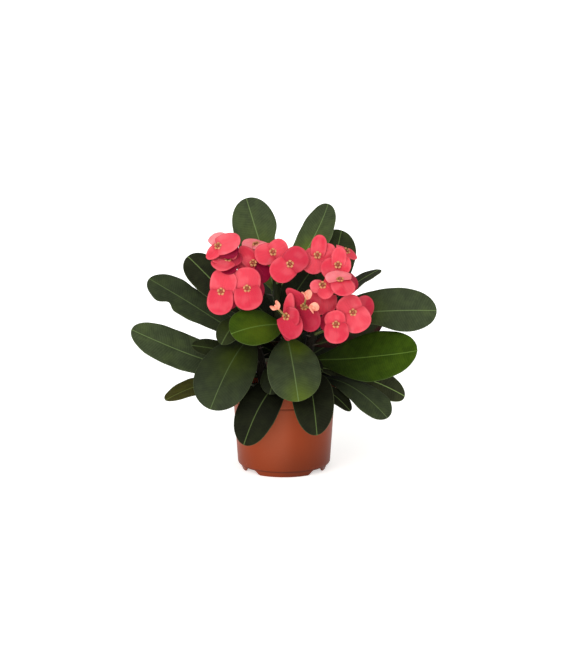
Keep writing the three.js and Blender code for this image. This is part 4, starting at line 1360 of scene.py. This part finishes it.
class StageSettings(bpy.types.PropertyGroup):
    floor: colour("Floor", "Colour of the studio floor", "f7f7f5")
    floor_glow: amount("Floor glow", "Strength of the light table below", 0.56, 0, 5)
    camera_distance: distance("Camera distance", "From the camera to the middle of the view", 3.0)
    camera_rise: degrees("Camera rise", "How far the camera looks down", 11.5)
    lens: amount("Lens", "Focal length, for a 36 mm long side", 153.94, 10, 400)
    sky: amount("Sky light", "Strength of the light from all round", 0.58, 0, 5)
    key: amount("Key light", "Strength of the soft light from the front left", 2.1, 0, 20)
    fill: amount("Fill light", "Strength of the light from the front", 1.0, 0, 20)
    softness: degrees("Softness", "How wide the two lights look", 60)


# ---- operators ------------------------------------------------------------------------------

TONES = ("slate", "deep", "shaded", "bright", "olive")
SHARP_ANGLE = math.radians(50)  # of the moulded pot's edges
VIEW_HEIGHT = 0.1589  # of the middle of the view, in metres
FLOOR_REACH = 40
FLOOR_DROP = 0.0002
KEY_DIRECTION = Vector((0.28, 0.8, -0.52))
FILL_DIRECTION = Vector((0.1, 1.0, -0.15))


def leaf_finishes(settings):
    """The finish of each tone of leaf, made once and shared."""
    return {
        tone: bpy.data.materials.get(f"leaf_{tone}") or leaf_finish(settings, tone) for tone in TONES
    }


class CROWN_OT_pot(bpy.types.Operator):
    """Moulds the nursery pot"""

    bl_idname = "crown.pot"
    bl_label = "Pot"

    def execute(self, context):
        settings = context.scene.crown_pot
        form = Form()
        add_pot(form, settings)
        piece = form.made("pot_shell", "pot", "pot", [plastic_finish(settings)])
        cut_drains(piece)
        piece.data.shade_smooth()
        piece.data.set_sharp_from_angle(angle=SHARP_ANGLE)
        return {"FINISHED"}


class CROWN_OT_soil(bpy.types.Operator):
    """Fills the pot with potting soil"""

    bl_idname = "crown.soil"
    bl_label = "Soil"

    def execute(self, context):
        settings = context.scene.crown_soil
        chance = random.Random(SOIL_SEED)
        form = Form()
        add_root_ball(form)
        add_crumbs(form, settings.crumbs, chance)
        add_fibres(form, settings.crumbs // 7, chance)
        fibre = soft_finish("fibre", settings.fibre, darker(settings.fibre, 0.5), 500, 0.8)
        finishes = [peat_finish(settings), perlite_finish(settings), fibre]
        form.made("soil_peat", "soil", "soil", finishes)
        return {"FINISHED"}


class CROWN_OT_stems(bpy.types.Operator):
    """Grows the four thorny stems with their inner leaves"""

    bl_idname = "crown.stems"
    bl_label = "Stems"

    def execute(self, context):
        settings = context.scene.crown_stem
        greens = leaf_finishes(context.scene.crown_leaf)
        finishes = [bark_finish(settings), thorn_finish(settings), *greens.values()]
        slots = {name: place for place, name in enumerate(("bark", "thorn", *greens))}
        obstacles = thorn_obstacles()
        for name, stem in STEMS.items():
            form = Form()
            add_bark(form, name, stem, slots["bark"])
            add_thorns(form, stem, settings, obstacles, slots["thorn"])
            add_small_leaves(form, name, stem, slots)
            form.made(f"stem_{name}_bark", f"stem_{name}", "stem", finishes)
        return {"FINISHED"}


class CROWN_OT_leaves(bpy.types.Operator):
    """Grows the large leaves"""

    bl_idname = "crown.leaves"
    bl_label = "Leaves"

    def execute(self, context):
        greens = leaf_finishes(context.scene.crown_leaf)
        for which, row in enumerate(LEAVES, start=1):
            form = Form()
            add_leaf(form, row, which * 1.618, 0)
            form.made(f"leaf_{which:02d}_blade", f"leaf_{which:02d}", "leaf", [greens[row["tone"]]])
        return {"FINISHED"}


class CROWN_OT_stalks(bpy.types.Operator):
    """Grows the forked flower stalks"""

    bl_idname = "crown.stalks"
    bl_label = "Flower stalks"

    def execute(self, context):
        settings = context.scene.crown_bloom
        flush = settings.stalk_flush
        scale = soft_finish("stalk_scale", flush, darker(flush, 0.6), 600, 0.6)
        green = stalk_finish(settings)
        for row in CYMES:
            form = Form()
            add_cyme(form, row)
            name = f"stalk_{row['name']}"
            form.made(f"{name}_fork", name, "stalk", [green, scale])
        return {"FINISHED"}


class CROWN_OT_blooms(bpy.types.Operator):
    """Opens the blooms with their bracts, cups and buds"""

    bl_idname = "crown.blooms"
    bl_label = "Blooms"

    def execute(self, context):
        settings = context.scene.crown_bloom
        gland, lobe = settings.gland, settings.lobe
        finishes = {
            "bract": bract_finish(settings),
            "cup": soft_finish("cup", settings.cup, mixed(settings.cup, lobe, 0.4), 500, 0.5),
            "gland": soft_finish("gland", gland, mixed(gland, lobe, 0.5), 700, 0.35),
            "lobe": soft_finish("lobe", lobe, darker(lobe, 0.5), 900, 0.5),
            "bud": soft_finish("bud", settings.bud, darker(settings.bud, 0.8), 300, 0.5),
            "stalk": soft_finish("bud_stalk", mixed(gland, settings.stalk, 0.4), settings.stalk, 300, 0.5),
        }
        slots = {name: place for place, name in enumerate(finishes)}
        for row in CYMES:
            for which, flower in enumerate(row["blooms"], start=1):
                form = Form()
                add_bloom(form, flower, slots, settings, which * 2.4 + ord(row["name"]))
                name = f"bloom_{row['name']}{which}"
                form.made(f"{name}_flower", name, "bract", finishes.values())
        return {"FINISHED"}


class CROWN_OT_stage(bpy.types.Operator):
    """Sets up the studio floor, the lights and the camera"""

    bl_idname = "crown.stage"
    bl_label = "Stage"

    def execute(self, context):
        settings = context.scene.crown_stage
        scene = context.scene
        mesh = bpy.data.meshes.new("studio_floor")
        sides = [(-1, -1), (1, -1), (1, 1), (-1, 1)]
        corners = [(x * FLOOR_REACH, y * FLOOR_REACH, 0) for x, y in sides]
        mesh.from_pydata(corners, [], [(0, 1, 2, 3)])
        mesh.materials.append(floor_finish(settings))
        floor = placed("studio_floor", mesh)
        floor.location.z = -FLOOR_DROP

        world = bpy.data.worlds.new("studio")
        world.use_nodes = True
        background = world.node_tree.nodes["Background"]
        background.inputs["Color"].default_value = (1, 1, 1, 1)
        background.inputs["Strength"].default_value = settings.sky
        scene.world = world

        lights = (
            ("soft_key", settings.key, KEY_DIRECTION), ("front_fill", settings.fill, FILL_DIRECTION)
        )
        for name, strength, direction in lights:
            light = bpy.data.lights.new(name, "SUN")
            light.energy = strength
            light.angle = settings.softness
            placed(name, light).rotation_euler = direction.to_track_quat("-Z", "Y").to_euler()

        back = Vector((0, -math.cos(settings.camera_rise), math.sin(settings.camera_rise)))
        view = bpy.data.cameras.new("camera")
        view.lens = settings.lens
        view.sensor_width = 36
        view.clip_end = 200
        camera = placed("camera", view)
        camera.location = Vector((0, 0, VIEW_HEIGHT)) + back * settings.camera_distance
        camera.rotation_euler = (-back).to_track_quat("-Z", "Y").to_euler()
        scene.camera = camera
        scene.view_settings.view_transform = "Standard"
        return {"FINISHED"}


# ---- add-on ---------------------------------------------------------------------------------

PIECES = (
    CROWN_OT_pot, CROWN_OT_soil, CROWN_OT_stems, CROWN_OT_leaves, CROWN_OT_stalks, CROWN_OT_blooms,
    CROWN_OT_stage,
)
GROUPS = {
    "crown_pot": PotSettings,
    "crown_soil": SoilSettings,
    "crown_stem": StemSettings,
    "crown_leaf": LeafSettings,
    "crown_bloom": BloomSettings,
    "crown_stage": StageSettings,
}


class CROWN_PT_pieces(bpy.types.Panel):
    """Lists the pieces of the plant"""

    bl_idname = "CROWN_PT_pieces"
    bl_label = "Crown of Thorns"
    bl_space_type = "VIEW_3D"
    bl_region_type = "UI"
    bl_category = "Crown of Thorns"

    def draw(self, context):
        for piece in PIECES:
            self.layout.operator(piece.bl_idname)
        for name, group in GROUPS.items():
            box = self.layout.box()
            for prop in group.__annotations__:
                box.prop(getattr(context.scene, name), prop)


CLASSES = (*GROUPS.values(), *PIECES, CROWN_PT_pieces)


def register():
    for kind in CLASSES:
        bpy.utils.register_class(kind)
    for name, group in GROUPS.items():
        setattr(bpy.types.Scene, name, PointerProperty(type=group))


def unregister():
    for name in GROUPS:
        delattr(bpy.types.Scene, name)
    for kind in reversed(CLASSES):
        bpy.utils.unregister_class(kind)


def main():
    register()
    bpy.ops.crown.pot()
    bpy.ops.crown.soil()
    bpy.ops.crown.stems()
    bpy.ops.crown.leaves()
    bpy.ops.crown.stalks()
    bpy.ops.crown.blooms()
    bpy.ops.crown.stage()


if __name__ == "__main__":
    main()
